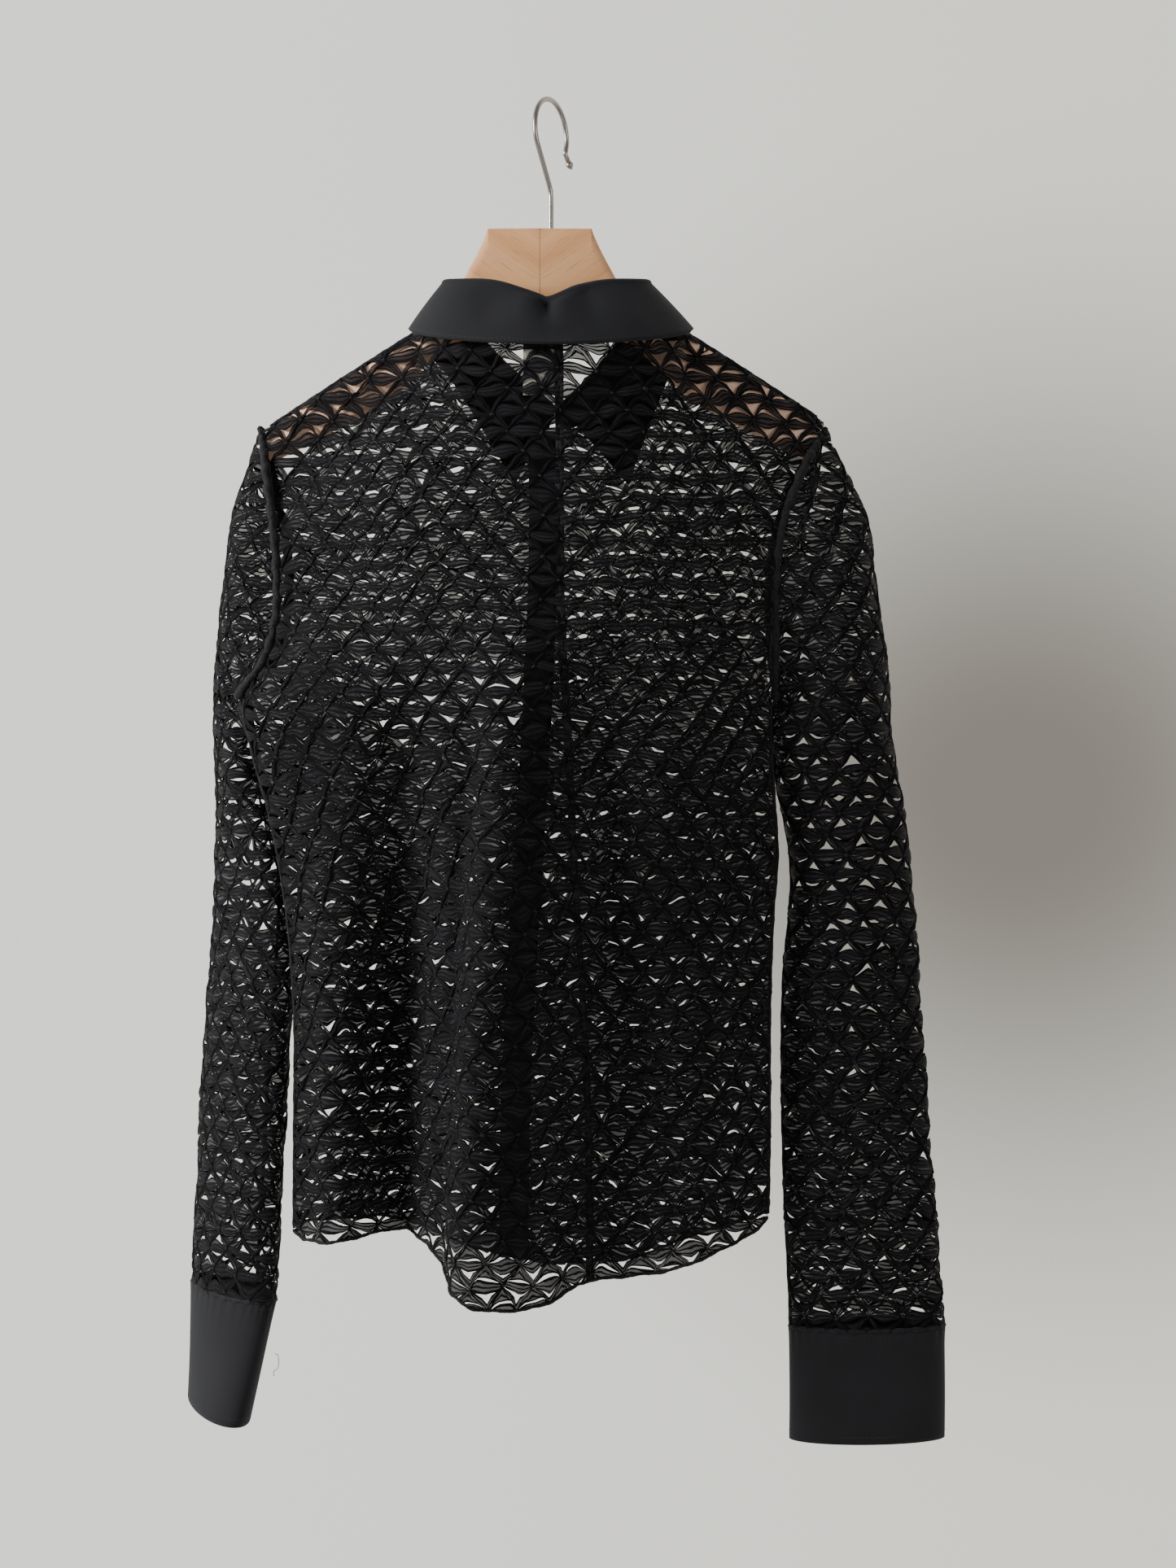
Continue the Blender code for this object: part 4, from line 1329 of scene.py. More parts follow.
@dataclass(frozen=True)
class RibbonFinish:
    """The pale ribbon of a blank neck label."""

    name: str = "ribbon"
    colour: tuple[float, float, float] = (0.42, 0.41, 0.34)

    def build(self) -> Material:
        """Make the material."""
        material, tree, surface = new_material(self.name)
        weave = add_weave(tree, "flat", 12.0)
        colour = mix_colour(tree, weave, shade(self.colour, 0.8), self.colour)
        tree.links.new(colour, surface.inputs["Base Color"])
        bump(tree, weave, 0.0001, 0.6)
        surface.inputs["Roughness"].default_value = 0.55
        return material


@dataclass(frozen=True)
class ThreadFinish:
    """Black sewing thread."""

    name: str = "thread"
    colour: tuple[float, float, float] = (0.012, 0.012, 0.014)

    def build(self) -> Material:
        """Make the material."""
        material, tree, surface = new_material(self.name)
        grain = noise(tree, 2500.0, 1.0)
        colour = mix_colour(tree, grain, shade(self.colour, 0.5), shade(self.colour, 1.8))
        tree.links.new(colour, surface.inputs["Base Color"])
        bump(tree, grain, 0.0001, 0.7)
        surface.inputs["Roughness"].default_value = 0.55
        return material


@dataclass(frozen=True)
class ButtonFinish:
    """Glossy black buttons with fine turning marks."""

    name: str = "button_gloss"

    def build(self) -> Material:
        """Make the material."""
        material, tree, surface = new_material(self.name)
        cloudy = noise(tree, 220.0, 3.0)
        colour = mix_colour(tree, cloudy, (0.006, 0.006, 0.007), (0.017, 0.017, 0.019))
        tree.links.new(colour, surface.inputs["Base Color"])
        rough = ramp(tree, noise(tree, 700.0, 2.0), 0.2, 0.9)
        spread = math_node(tree, "MULTIPLY_ADD", rough, 0.18, 0.2)
        tree.links.new(spread, surface.inputs["Roughness"])
        return material


@dataclass(frozen=True)
class BeechFinish:
    """Light beech under satin lacquer, its grain mirrored at the joint in the middle.

    Attributes:
        light: Colour of the early wood.
        dark: Colour of the late wood.
        arms: Colour of the arms: the same beech painted paler than the block, painted light that lifts them
            out of the shade under the lace.
        slope: Angle of the grain to the level, falling away from the joint.
    """

    name: str = "beech"
    light: tuple[float, float, float] = (0.82, 0.44, 0.205)
    dark: tuple[float, float, float] = (0.70, 0.33, 0.135)
    arms: tuple[float, float, float] = (0.95, 0.66, 0.50)
    slope: float = math.radians(34)

    def build(self) -> Material:
        """Make the material on Object coordinates, mirrored about the joint."""
        material, tree, surface = new_material(self.name)
        place = tree.nodes.new("ShaderNodeTexCoord")
        split = tree.nodes.new("ShaderNodeSeparateXYZ")
        tree.links.new(place.outputs["Object"], split.inputs[0])
        from_joint = plus(tree, split.outputs["X"], -WOOD_X * MM)
        out = math_node(tree, "ABSOLUTE", from_joint)
        join = tree.nodes.new("ShaderNodeCombineXYZ")
        for socket, name in ((out, "X"), (split.outputs["Y"], "Y"), (split.outputs["Z"], "Z")):
            tree.links.new(socket, join.inputs[name])
        turned = tree.nodes.new("ShaderNodeMapping")
        turned.inputs["Rotation"].default_value = (0, self.slope, 0)
        tree.links.new(join.outputs[0], turned.inputs[0])
        grains = []
        for stretch, scale, detail in (((4, 30, 60), 1.0, 5.0), ((60, 900, 1100), 1.0, 2.0)):
            mapping = tree.nodes.new("ShaderNodeMapping")
            mapping.inputs["Scale"].default_value = stretch
            tree.links.new(turned.outputs[0], mapping.inputs[0])
            texture = tree.nodes.new("ShaderNodeTexNoise")
            texture.inputs["Scale"].default_value = scale
            texture.inputs["Detail"].default_value = detail
            tree.links.new(mapping.outputs[0], texture.inputs["Vector"])
            grains.append(texture.outputs[0])
        bands = ramp(tree, grains[0], 0.32, 0.66)
        flecks = ramp(tree, grains[1], 0.56, 0.72)
        colour = mix_colour(tree, bands, self.light, self.dark)
        darker = mix_colour(tree, times(tree, flecks, 0.45), colour, shade(self.dark, 0.5))
        # painted light: the arms take a paler colour than the block, to lift them out of the shade under the
        # lace
        arm_painted_light = ramp(tree, out, 0.05, 0.07)
        darker = mix_colour(tree, times(tree, arm_painted_light, 0.6), darker, self.arms)
        joint = ramp(tree, out, 0.0001, 0.0005)
        final = mix_colour(tree, joint, shade(self.dark, 0.6), darker)
        tree.links.new(final, surface.inputs["Base Color"])
        height = times(tree, plus(tree, flecks, joint), -0.5)
        bump(tree, height, 0.0002, 0.5)
        spread = math_node(tree, "MULTIPLY_ADD", bands, 0.12, 0.36)
        tree.links.new(spread, surface.inputs["Roughness"])
        return material


@dataclass(frozen=True)
class SteelFinish:
    """Drawn steel wire, brushed along its length."""

    name: str = "steel"
    colour: tuple[float, float, float] = (0.46, 0.42, 0.38)

    def build(self) -> Material:
        """Make the material."""
        material, tree, surface = new_material(self.name)
        spots = noise(tree, 420.0, 4.0)
        colour = mix_colour(tree, spots, shade(self.colour, 0.72), self.colour)
        tree.links.new(colour, surface.inputs["Base Color"])
        surface.inputs["Metallic"].default_value = 1.0
        drawn = noise(tree, 1.0, 2.0, (2600, 2600, 120))
        tree.links.new(math_node(tree, "MULTIPLY_ADD", drawn, 0.2, 0.2), surface.inputs["Roughness"])
        bump(tree, drawn, 0.00003, 0.5)
        return material


# Pieces of plain cloth, sewing and trim
def grid_bmesh(points: Array, closed: bool = False) -> Bmesh:
    """Move a flat grid onto rows of points, with its flat sizes as a UV map.

    Args:
        points: Rows of points in millimetres.
        closed: Whether the last column meets the first.

    Returns:
        The mesh, in metres.
    """
    rows, columns = points.shape[:2]
    middle_row = points[rows // 2]
    across = np.concatenate([[0], np.cumsum(np.linalg.norm(np.diff(middle_row, axis=0), axis=1))])
    middle = points[:, columns // 2]
    down = np.concatenate([[0], np.cumsum(np.linalg.norm(np.diff(middle, axis=0), axis=1))])
    mesh = bmesh.new()
    flat = mesh.loops.layers.uv.new("flat")
    made = bmesh.ops.create_grid(mesh, x_segments=columns - 1, y_segments=rows - 1, size=1.0)
    place = {}
    for vert in made["verts"]:
        i = round((vert.co.x + 1) / 2 * (columns - 1))
        j = round((1 - vert.co.y) / 2 * (rows - 1))
        place[vert] = (i, j)
        vert.co = points[j, i] * MM
    for face in mesh.faces:
        for loop in face.loops:
            i, j = place[loop.vert]
            loop[flat].uv = (across[i], down[j])
    if closed:
        bmesh.ops.remove_doubles(mesh, verts=mesh.verts[:], dist=1e-6)
    return mesh


def to_object(mesh: Bmesh, name: str, material: Material) -> Piece:
    """Turn a bmesh into a linked object."""
    data = bpy.data.meshes.new(name)
    mesh.to_mesh(data)
    mesh.free()
    return link_mesh(name, data, [material])


def cloth_shell(
    name: str, points: Array, wall: float, material: Material, inside: Sequence[float],
    closed: bool = False,
) -> Piece:
    """Make a thin wall of cloth through rows of points.

    Args:
        name: The piece's name.
        points: Rows of points in millimetres, at the wall's middle.
        wall: Its thickness.
        material: Its finish.
        inside: A point inside the garment, which the faces turn away from.
        closed: Whether it is a tube.

    Returns:
        The piece, with its wall as a modifier.
    """
    mesh = grid_bmesh(points, closed)
    away = sum((face.normal.dot(face.calc_center_median() - Vector(inside) * MM) for face in mesh.faces))
    if away < 0:
        bmesh.ops.reverse_faces(mesh, faces=mesh.faces[:])
    item = to_object(mesh, name, material)
    thick = item.modifiers.new("Wall", "SOLIDIFY")
    thick.thickness = wall * MM
    thick.offset = 0
    thick.use_even_offset = True
    return item


def tube(
    name: str, points: Array, radius: Array, material: Material,
    sides: int = 2, closed: bool = False,
) -> Piece:
    """Make a round roll along a path, as a mesh with its width as its flat map."""
    data = bpy.data.curves.new(name, "CURVE")
    data.dimensions = "3D"
    data.bevel_depth = 1.0
    data.bevel_resolution = sides
    data.use_fill_caps = not closed
    line = data.splines.new("POLY")
    line.points.add(len(points) - 1)
    line.use_cyclic_u = closed
    for point, co, size in zip(line.points, points * MM, np.broadcast_to(radius, len(points)) * MM):
        point.co = (*co, 1)
        point.radius = size
    item = bpy.data.objects.new(name, data)
    bpy.context.scene.collection.objects.link(item)
    mesh = finished(item, name)
    return link_mesh(name, mesh, [material])


def settle(item: Piece, slot: str, *nodes: str) -> Piece:
    """Make a piece ride on the one body, and hide the nodes it stands for."""
    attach(item, ROOT)
    if nodes:
        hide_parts(*nodes)
    LOG.info("%s", item.name)
    return item


def lumps(count: int, size: float, seed: float) -> Array:
    """Return an uneven factor around 1 along a path."""
    k = np.arange(count)
    return 1 + size * (np.sin(k * 0.9 + seed) + 0.6 * np.sin(k * 2.3 + 2 * seed)) / 1.6


@dataclass
class Stitches:
    """Rows of small machine stitches, gathered in one piece.

    Attributes:
        pitch: Distance between stitches.
        length: Length of a stitch.
        thick: Half of its thickness.
    """

    pitch: float = 2.8
    length: float = 2.1
    thick: float = 0.22
    rows: list[tuple[Array, Array]] = field(default_factory=list)

    def add(self, path: Array, normal: Array) -> None:
        """Add a row along a path of points, standing on its normals."""
        self.rows.append((path, normal))

    def build(self, name: str, material: Material) -> Piece:
        """Build all rows."""
        mesh = bmesh.new()
        for path, normal in self.rows:
            steps = np.linalg.norm(np.diff(path, axis=0), axis=1)
            along = np.concatenate([[0], np.cumsum(steps)])
            for at in np.arange(self.pitch / 2, along[-1], self.pitch):
                here = np.array([np.interp(at, along, path[:, k]) for k in range(3)])
                ahead = np.array([np.interp(at + 0.5, along, path[:, k]) for k in range(3)]) - here
                up = np.array([np.interp(at, along, normal[:, k]) for k in range(3)])
                self.one(mesh, here, ahead, up)
        return to_object(mesh, name, material)

    def one(self, mesh: Bmesh, here: Array, ahead: Array, up: Array) -> None:
        """Add one stitch."""
        ahead = Vector(ahead).normalized()
        up = Vector(up).normalized()
        side = ahead.cross(up).normalized()
        made = bmesh.ops.create_icosphere(mesh, subdivisions=1, radius=1.0)
        for vert in made["verts"]:
            x, y, z = vert.co
            shift = ahead * x * self.length / 2 + side * y * self.thick * 1.2 + up * z * self.thick
            vert.co = (Vector(here) + shift) * MM


def collar_lines(angle: float) -> tuple[Array, Array, Array]:
    """Return the neckline, fold and outer edge of the collar, angle 0 at the middle of the back."""
    back = max(math.cos(angle), 0.0)
    front = max(-math.cos(angle), 0.0)
    side = Side.BACK if math.cos(angle) >= 0 else Side.FRONT
    x = NECK_HALF * math.sin(angle)
    neck = np.array([x, float(neck_y(x, side)), float(top_z(x, side)) + SEAM_GAP + 0.65])
    fold_x = FOLD_HALF * math.sin(angle) - 3.0
    fold_z = FOLD_Z - (BACK_FOLD_DROP + FOLD_DIP * math.exp(-((fold_x / 24.0) ** 2))) * back
    if front > 0:
        fold_z -= FOLD_FALL * (1 - abs(math.sin(angle))) ** FOLD_POWER
    fold = np.array([fold_x + FRONT_SHIFT * front**2, 4.0 - 31.0 * back + 40.0 * front, fold_z])
    edge = np.array([EDGE_HALF * math.sin(angle), 5.0 - 50.0 * back, EDGE_Z - EDGE_DIP * back])
    if front > 0:
        share = (abs(angle) - math.pi / 2) / (COLLAR_END - math.pi / 2)
        edge[0] = math.copysign(EDGE_HALF - (EDGE_HALF - POINT_HALF) * share, angle) + POINT_SHIFT * share
        edge[1] = 5.0 + 66.0 * math.sin(share * math.pi / 2)
        edge[2] = EDGE_Z - POINT_FALL * share**1.25
    return neck, fold, edge


class Pucker(NamedTuple):
    """A soft hollow (depth above 0) or swelling in the collar's back."""

    x: float
    share: float
    wide: float
    tall: float
    depth: float


PUCKERS = (
    Pucker(-3, 0.0, 3.2, 0.42, 4.6),
    Pucker(7, 0.06, 5.5, 0.34, -2.6),
    Pucker(-15, 0.1, 7.0, 0.4, -2.4),
    Pucker(-38, 0.34, 11.0, 0.4, 2.6),
    Pucker(23, 0.24, 5.5, 0.4, 2.4),
    Pucker(36, 0.6, 13.0, 0.34, -1.8),
    Pucker(-60, 0.66, 12.0, 0.34, -1.5),
    Pucker(56, 0.4, 8.0, 0.45, 1.7),
    Pucker(8, 0.8, 18.0, 0.25, 1.0),
)


@dataclass
class Collar:
    """Stand up from the neckline, over the fold and down: one folded wall, open in front.

    Attributes:
        wall: Thickness of the two layers of cotton together.
        cuts: Columns round the neck.
        seam_step: Distance of the edge stitching from the edge.
        meet: Angle of the two front ends, almost touching.
    """

    wall: float = 1.5
    cuts: int = 121
    seam_step: float = 5.0
    meet: float = math.radians(178.4)

    def build(self, material: Material, stitches: Stitches) -> Piece:
        """Build the collar and add its edge stitching."""
        columns = []
        outside = []
        for angle in np.linspace(-self.meet, self.meet, self.cuts):
            neck, fold, edge = collar_lines(angle)
            fold[2] -= self.notch(angle, fold[0])
            away = edge - fold
            away[2] = 0.0
            away = away / np.linalg.norm(away)
            arc = [
                fold + away * COLLAR_BEND * math.sin(turn)
                - np.array([0, 0, COLLAR_BEND * (1 - math.cos(turn))])
                for turn in np.radians((-90, -60, -30, 0, 30, 60, 90))
            ]
            down = [arc[0] + (neck - arc[0]) * share for share in np.linspace(1, 0.12, 6)]
            fall = []
            for share in np.linspace(0.07, 1.0, 15):
                bow = 2.6 * share * (1 - share)
                out = bow + self.pucker(angle, share, arc[-1][0])
                fall.append(arc[-1] + (edge - arc[-1]) * share + away * out)
            columns.append(down + arc + fall)
            outside.append(away)
        points = np.array(columns).transpose(1, 0, 2)
        item = cloth_shell("collar_cotton", points, self.wall, material, (0.0, 10.0, -190.0))
        settle(item, "cotton", "collar")
        fall_length = np.linalg.norm(points[-1] - points[-2], axis=1)
        share = np.clip(self.seam_step / fall_length, 0, 1)[:, None]
        away = np.array(outside)
        path = points[-1] + (points[-2] - points[-1]) * share + away * (self.wall / 2 + 0.05)
        stitches.add(path, away)
        return item

    def notch(self, angle: float, x: float) -> float:
        """Return how much lower the creased fold lies in the middle of the back."""
        if math.cos(angle) <= 0:
            return 0.0
        sharp = 3.8 * math.exp(-abs(x + 2.0) / 7.0)
        left = 1.4 * math.exp(-(((x + 22.0) / 14.0) ** 2))
        right = 0.9 * math.exp(-(((x - 15.0) / 7.0) ** 2))
        return sharp + left - right

    def pucker(self, angle: float, share: float, x: float) -> float:
        """Return how far the fall stands out at a place."""
        if math.cos(angle) <= 0:
            return 0.0
        step = sum(
            -p.depth * math.exp(-(((x - p.x) / p.wide) ** 2) - ((share - p.share) / p.tall) ** 2)
            for p in PUCKERS
        )
        return step * math.cos(angle) ** 0.5


@dataclass
class Cuff:
    """A buttoned cuff, its far end lapped outside, with two rows of stitching."""

    hand: Hand
    wall: float = 1.5
    cuts: int = 121

    def point(self, angle: float, drop: float, step: float) -> Array:
        """Find a point of the wall, step outside the sleeve's last section."""
        top = CUFF_TOPS[self.hand]
        rows = SLEEVES[self.hand]
        point = sleeve_ring(np.array(angle), np.array(top), self.hand)
        centre = np.array([float(column(rows, "x", top)), float(column(rows, "y", top)), top])
        away = point - centre
        away = away / np.linalg.norm(away)
        gathers = 0.55 * math.exp(-drop / 7.0) * math.sin(angle * 29 + 1.3 * math.sin(angle * 5))
        soft = 0.8 * math.sin(angle * 3 + drop / 40.0) * math.sin(math.pi * drop / CUFF_HEIGHT)
        point = point + away * (step + gathers + 0.4 * soft)
        point[2] = top - drop
        if self.hand is Hand.LEFT:
            near = (1 - math.sin(angle)) / 2
            point = point + np.array(CUFF_SWING) * near * drop / CUFF_HEIGHT
        return point

    def build(self, material: Material, stitches: Stitches) -> Piece:
        """Build the cuff and add its stitching."""
        last = CUFF_START + 2 * math.pi + CUFF_LAP
        angles = np.linspace(CUFF_START, last, self.cuts)
        steps = CUFF_STEP * smooth(last - CUFF_LAP - 0.6, last - CUFF_LAP - 0.05, angles)
        drops = np.concatenate([[CUFF_GAP, 1.5], np.linspace(4, CUFF_HEIGHT, 18)])
        points = np.array([[self.point(a, d, s) for a, s in zip(angles, steps)] for d in drops])
        side = self.hand.name.lower()
        middle = points.mean(axis=(0, 1))
        item = cloth_shell(f"cuff_cotton_{side}", points, self.wall, material, middle)
        settle(item, "cotton", f"cuff_{side}")
        for drop in (3.2, CUFF_HEIGHT - 5.0):
            path = np.array([self.point(a, drop, s) for a, s in zip(angles, steps)])
            away = path - np.array([middle[0], middle[1], 0.0])
            away[:, 2] = 0.0
            away = away / np.linalg.norm(away, axis=1, keepdims=True)
            stitches.add(path + away * (self.wall / 2 + 0.05), away)
        return item


@dataclass
class FrontBand:
    """The button band and, outside it, the buttonhole band."""

    form: ClothMap
    wall: float = 1.3
    edge: float = 4.0
    overhang: float = 1.1

    def build(self, material: Material, stitches: Stitches) -> list[Piece]:
        """Build both bands and add the outer one's edge stitching."""
        half = BAND_WIDTH / 2 - SEAM_GAP / 2
        top = float(np.interp(0.0, *self.form.top))
        foot = float(np.interp(0.0, *self.form.foot))
        made = []
        for node, height, over in (("band_under", 0.0, 0.0), ("band_over", BAND_STEP, self.overhang)):
            rows = []
            for fall in np.linspace(top + 0.3, foot, 90):
                s = np.linspace(-half - over, half + over, 9)
                sag = 0.35 * math.sin(fall / 13.0) + 0.25 * math.sin(fall / 5.7)
                rows.append(self.form.place(s, np.full(9, fall), np.full(9, height + sag)))
            points = np.array(rows)
            inside = points.mean(axis=(0, 1)) - (0, 60, 0)
            item = cloth_shell(f"{node}_cotton", points, self.wall, material, inside)
            settle(item, "cotton", node)
            made.append(item)
        for s in (-half + self.edge, half - self.edge):
            fall = np.linspace(top + 1, foot - 1, 160)
            at = np.full(160, s)
            path = self.form.place(at, fall, np.full(160, BAND_STEP + self.wall / 2 + 0.3))
            stitches.add(path, self.form.read(self.form.normals, at, fall))
        return made


@dataclass
class Label:
    """A blank ribbon label inside the back, under the collar."""

    form: ClothMap
    left: float = -24.0
    right: float = 2.0
    top: float = 168.0
    foot: float = 203.0

    def build(self, material: Material) -> Piece:
        """Build the label."""
        rows = []
        s = np.linspace(self.left, self.right, 13)
        for fall in np.linspace(self.top, self.foot, 15):
            bow = 0.3 * np.sin(s / 4.0) * (fall - self.top) / (self.foot - self.top)
            inside = -(LACE_WALL / 2 + SEAM_GAP + LABEL_WALL / 2)
            rows.append(self.form.place(s, np.full(13, fall), inside + bow))
        points = np.array(rows)
        item = cloth_shell("label_ribbon", points, 0.4, material, points.mean(axis=(0, 1)) + (0, 60, 0))
        settle(item, "label", "neck_label")
        return item


@dataclass
class Seams:
    """Rolled armhole, shoulder, side, sleeve and hem seams, and the centre back allowance."""

    back: ClothMap
    front: ClothMap
    sleeves: dict[Hand, ClothMap]

    def build(self, material: Material) -> list[Piece]:
        """Build every seam."""
        made = [self.centre_back(material)]
        for hand in Hand:
            side = hand.name.lower()
            made += [
                self.armhole_roll(hand, side, material),
                self.shoulder(hand, side, material),
                self.side_seam(hand, side, material),
                self.sleeve_seam(hand, side, material),
                self.cuff_seam(hand, side, material),
            ]
        made += [self.hem(self.back, "back", material), self.hem(self.front, "front", material)]
        made += [self.neckline(Side.BACK, material), self.neckline(Side.FRONT, material)]
        for item in made:
            settle(item, "lace")
        return made

    def armhole_roll(self, hand: Hand, side: str, material: Material) -> Piece:
        """Build the thick roll round an armhole."""
        angle = np.linspace(0, 2 * math.pi, 220, endpoint=False)
        path = armhole(angle, hand)
        path[:, 0] += hand.value * 0.3 + 0.4 * np.sin(angle * 43)
        path[:, 1] += 0.6 * np.sin(angle * 37)
        low = smooth(0.0, 26.0, SHOULDER_Z - path[:, 2])
        path[:, 2] -= 2.0 * (1 - low)
        radius = (2.0 + 1.1 * low) * lumps(220, 0.2, 1.0 + hand.value)
        return tube(f"armhole_roll_{side}", path, radius, material, sides=3, closed=True)

    def shoulder(self, hand: Hand, side: str, material: Material) -> Piece:
        """Build a shoulder seam."""
        reach = 193.0 if hand is Hand.LEFT else 182.0
        x = hand.value * np.linspace(NECK_HALF - 2, reach, 60)
        path = np.stack([x, ridge_y(x), shoulder_z(x) + 0.2], axis=1)
        return tube(f"shoulder_seam_{side}", path, 1.5 * lumps(60, 0.15, 2.0), material)

    def side_seam(self, hand: Hand, side: str, material: Material) -> Piece:
        """Build a side seam from the underarm to the hem."""
        edge = self.back.left if hand is Hand.LEFT else self.back.right
        fall = np.linspace(-UNDERARM_Z, 757.0 if hand is Hand.LEFT else 751.0, 110)
        s = np.interp(fall, self.back.t, edge)
        path = self.back.place(s, fall, np.zeros(110))
        return tube(f"side_seam_{side}", path, 1.3 * lumps(110, 0.2, 3.0), material)

    def sleeve_seam(self, hand: Hand, side: str, material: Material) -> Piece:
        """Build a sleeve's underarm seam."""
        form = self.sleeves[hand]
        fall = np.linspace(-UNDERARM_Z, -CUFF_TOPS[hand], 120)
        path = form.place(np.interp(fall, form.t, form.left), fall, np.zeros(120))
        return tube(f"sleeve_seam_{side}", path, 1.3 * lumps(120, 0.2, 4.0), material)

    def cuff_seam(self, hand: Hand, side: str, material: Material) -> Piece:
        """Build the gathered edge where a sleeve meets its cuff."""
        angle = np.linspace(0, 2 * math.pi, 160, endpoint=False)
        path = sleeve_ring(angle, np.full(160, CUFF_TOPS[hand] + 0.8), hand)
        return tube(f"cuff_seam_{side}", path, 1.5 * lumps(160, 0.3, 5.0), material, closed=True)

    def hem(self, form: ClothMap, side: str, material: Material) -> Piece:
        """Build a narrow rolled hem."""
        first, last = float(form.foot[0][0]), float(form.foot[0][-1])
        s = np.linspace(first, last, 320)
        fall = np.interp(s, *form.foot)
        path = form.place(s, fall, 0.4 * np.sin(s / 3.1))
        path[:, 2] += 0.5 + 0.35 * np.sin(s / 4.3)
        return tube(f"hem_{side}", path, 1.15 * lumps(320, 0.22, 6.0), material, sides=1)

    def neckline(self, side: Side, material: Material) -> Piece:
        """Build the seam under the collar stand."""
        angle = np.linspace(-math.pi / 2, math.pi / 2, 80)
        x = NECK_HALF * np.sin(angle)
        path = np.stack([x, neck_y(x, side), top_z(x, side) - 0.5], axis=1)
        return tube(f"neck_seam_{side.name.lower()}", path, 1.2, material, sides=1)

    def centre_back(self, material: Material) -> Piece:
        """Build the pressed allowance of the centre back seam, inside the cloth."""
        half = 2.9
        top, foot = float(np.interp(0.0, *self.back.top)), float(np.interp(0.0, *self.back.foot))
        rows = []
        for fall in np.linspace(top + 1, foot, 130):
            drift = 0.5 * math.sin(fall / 31.0) + 0.25 * math.sin(fall / 9.0)
            s = np.linspace(-half, half, 7) + drift
            rise = -1.1 + 0.5 * np.exp(-((np.linspace(-half, half, 7) / 0.8) ** 2))
            rows.append(self.back.place(s, np.full(7, fall), rise))
        points = np.array(rows)
        return cloth_shell("centre_back_seam", points, 0.8, material, points.mean(axis=(0, 1)) + (0, 60, 0))


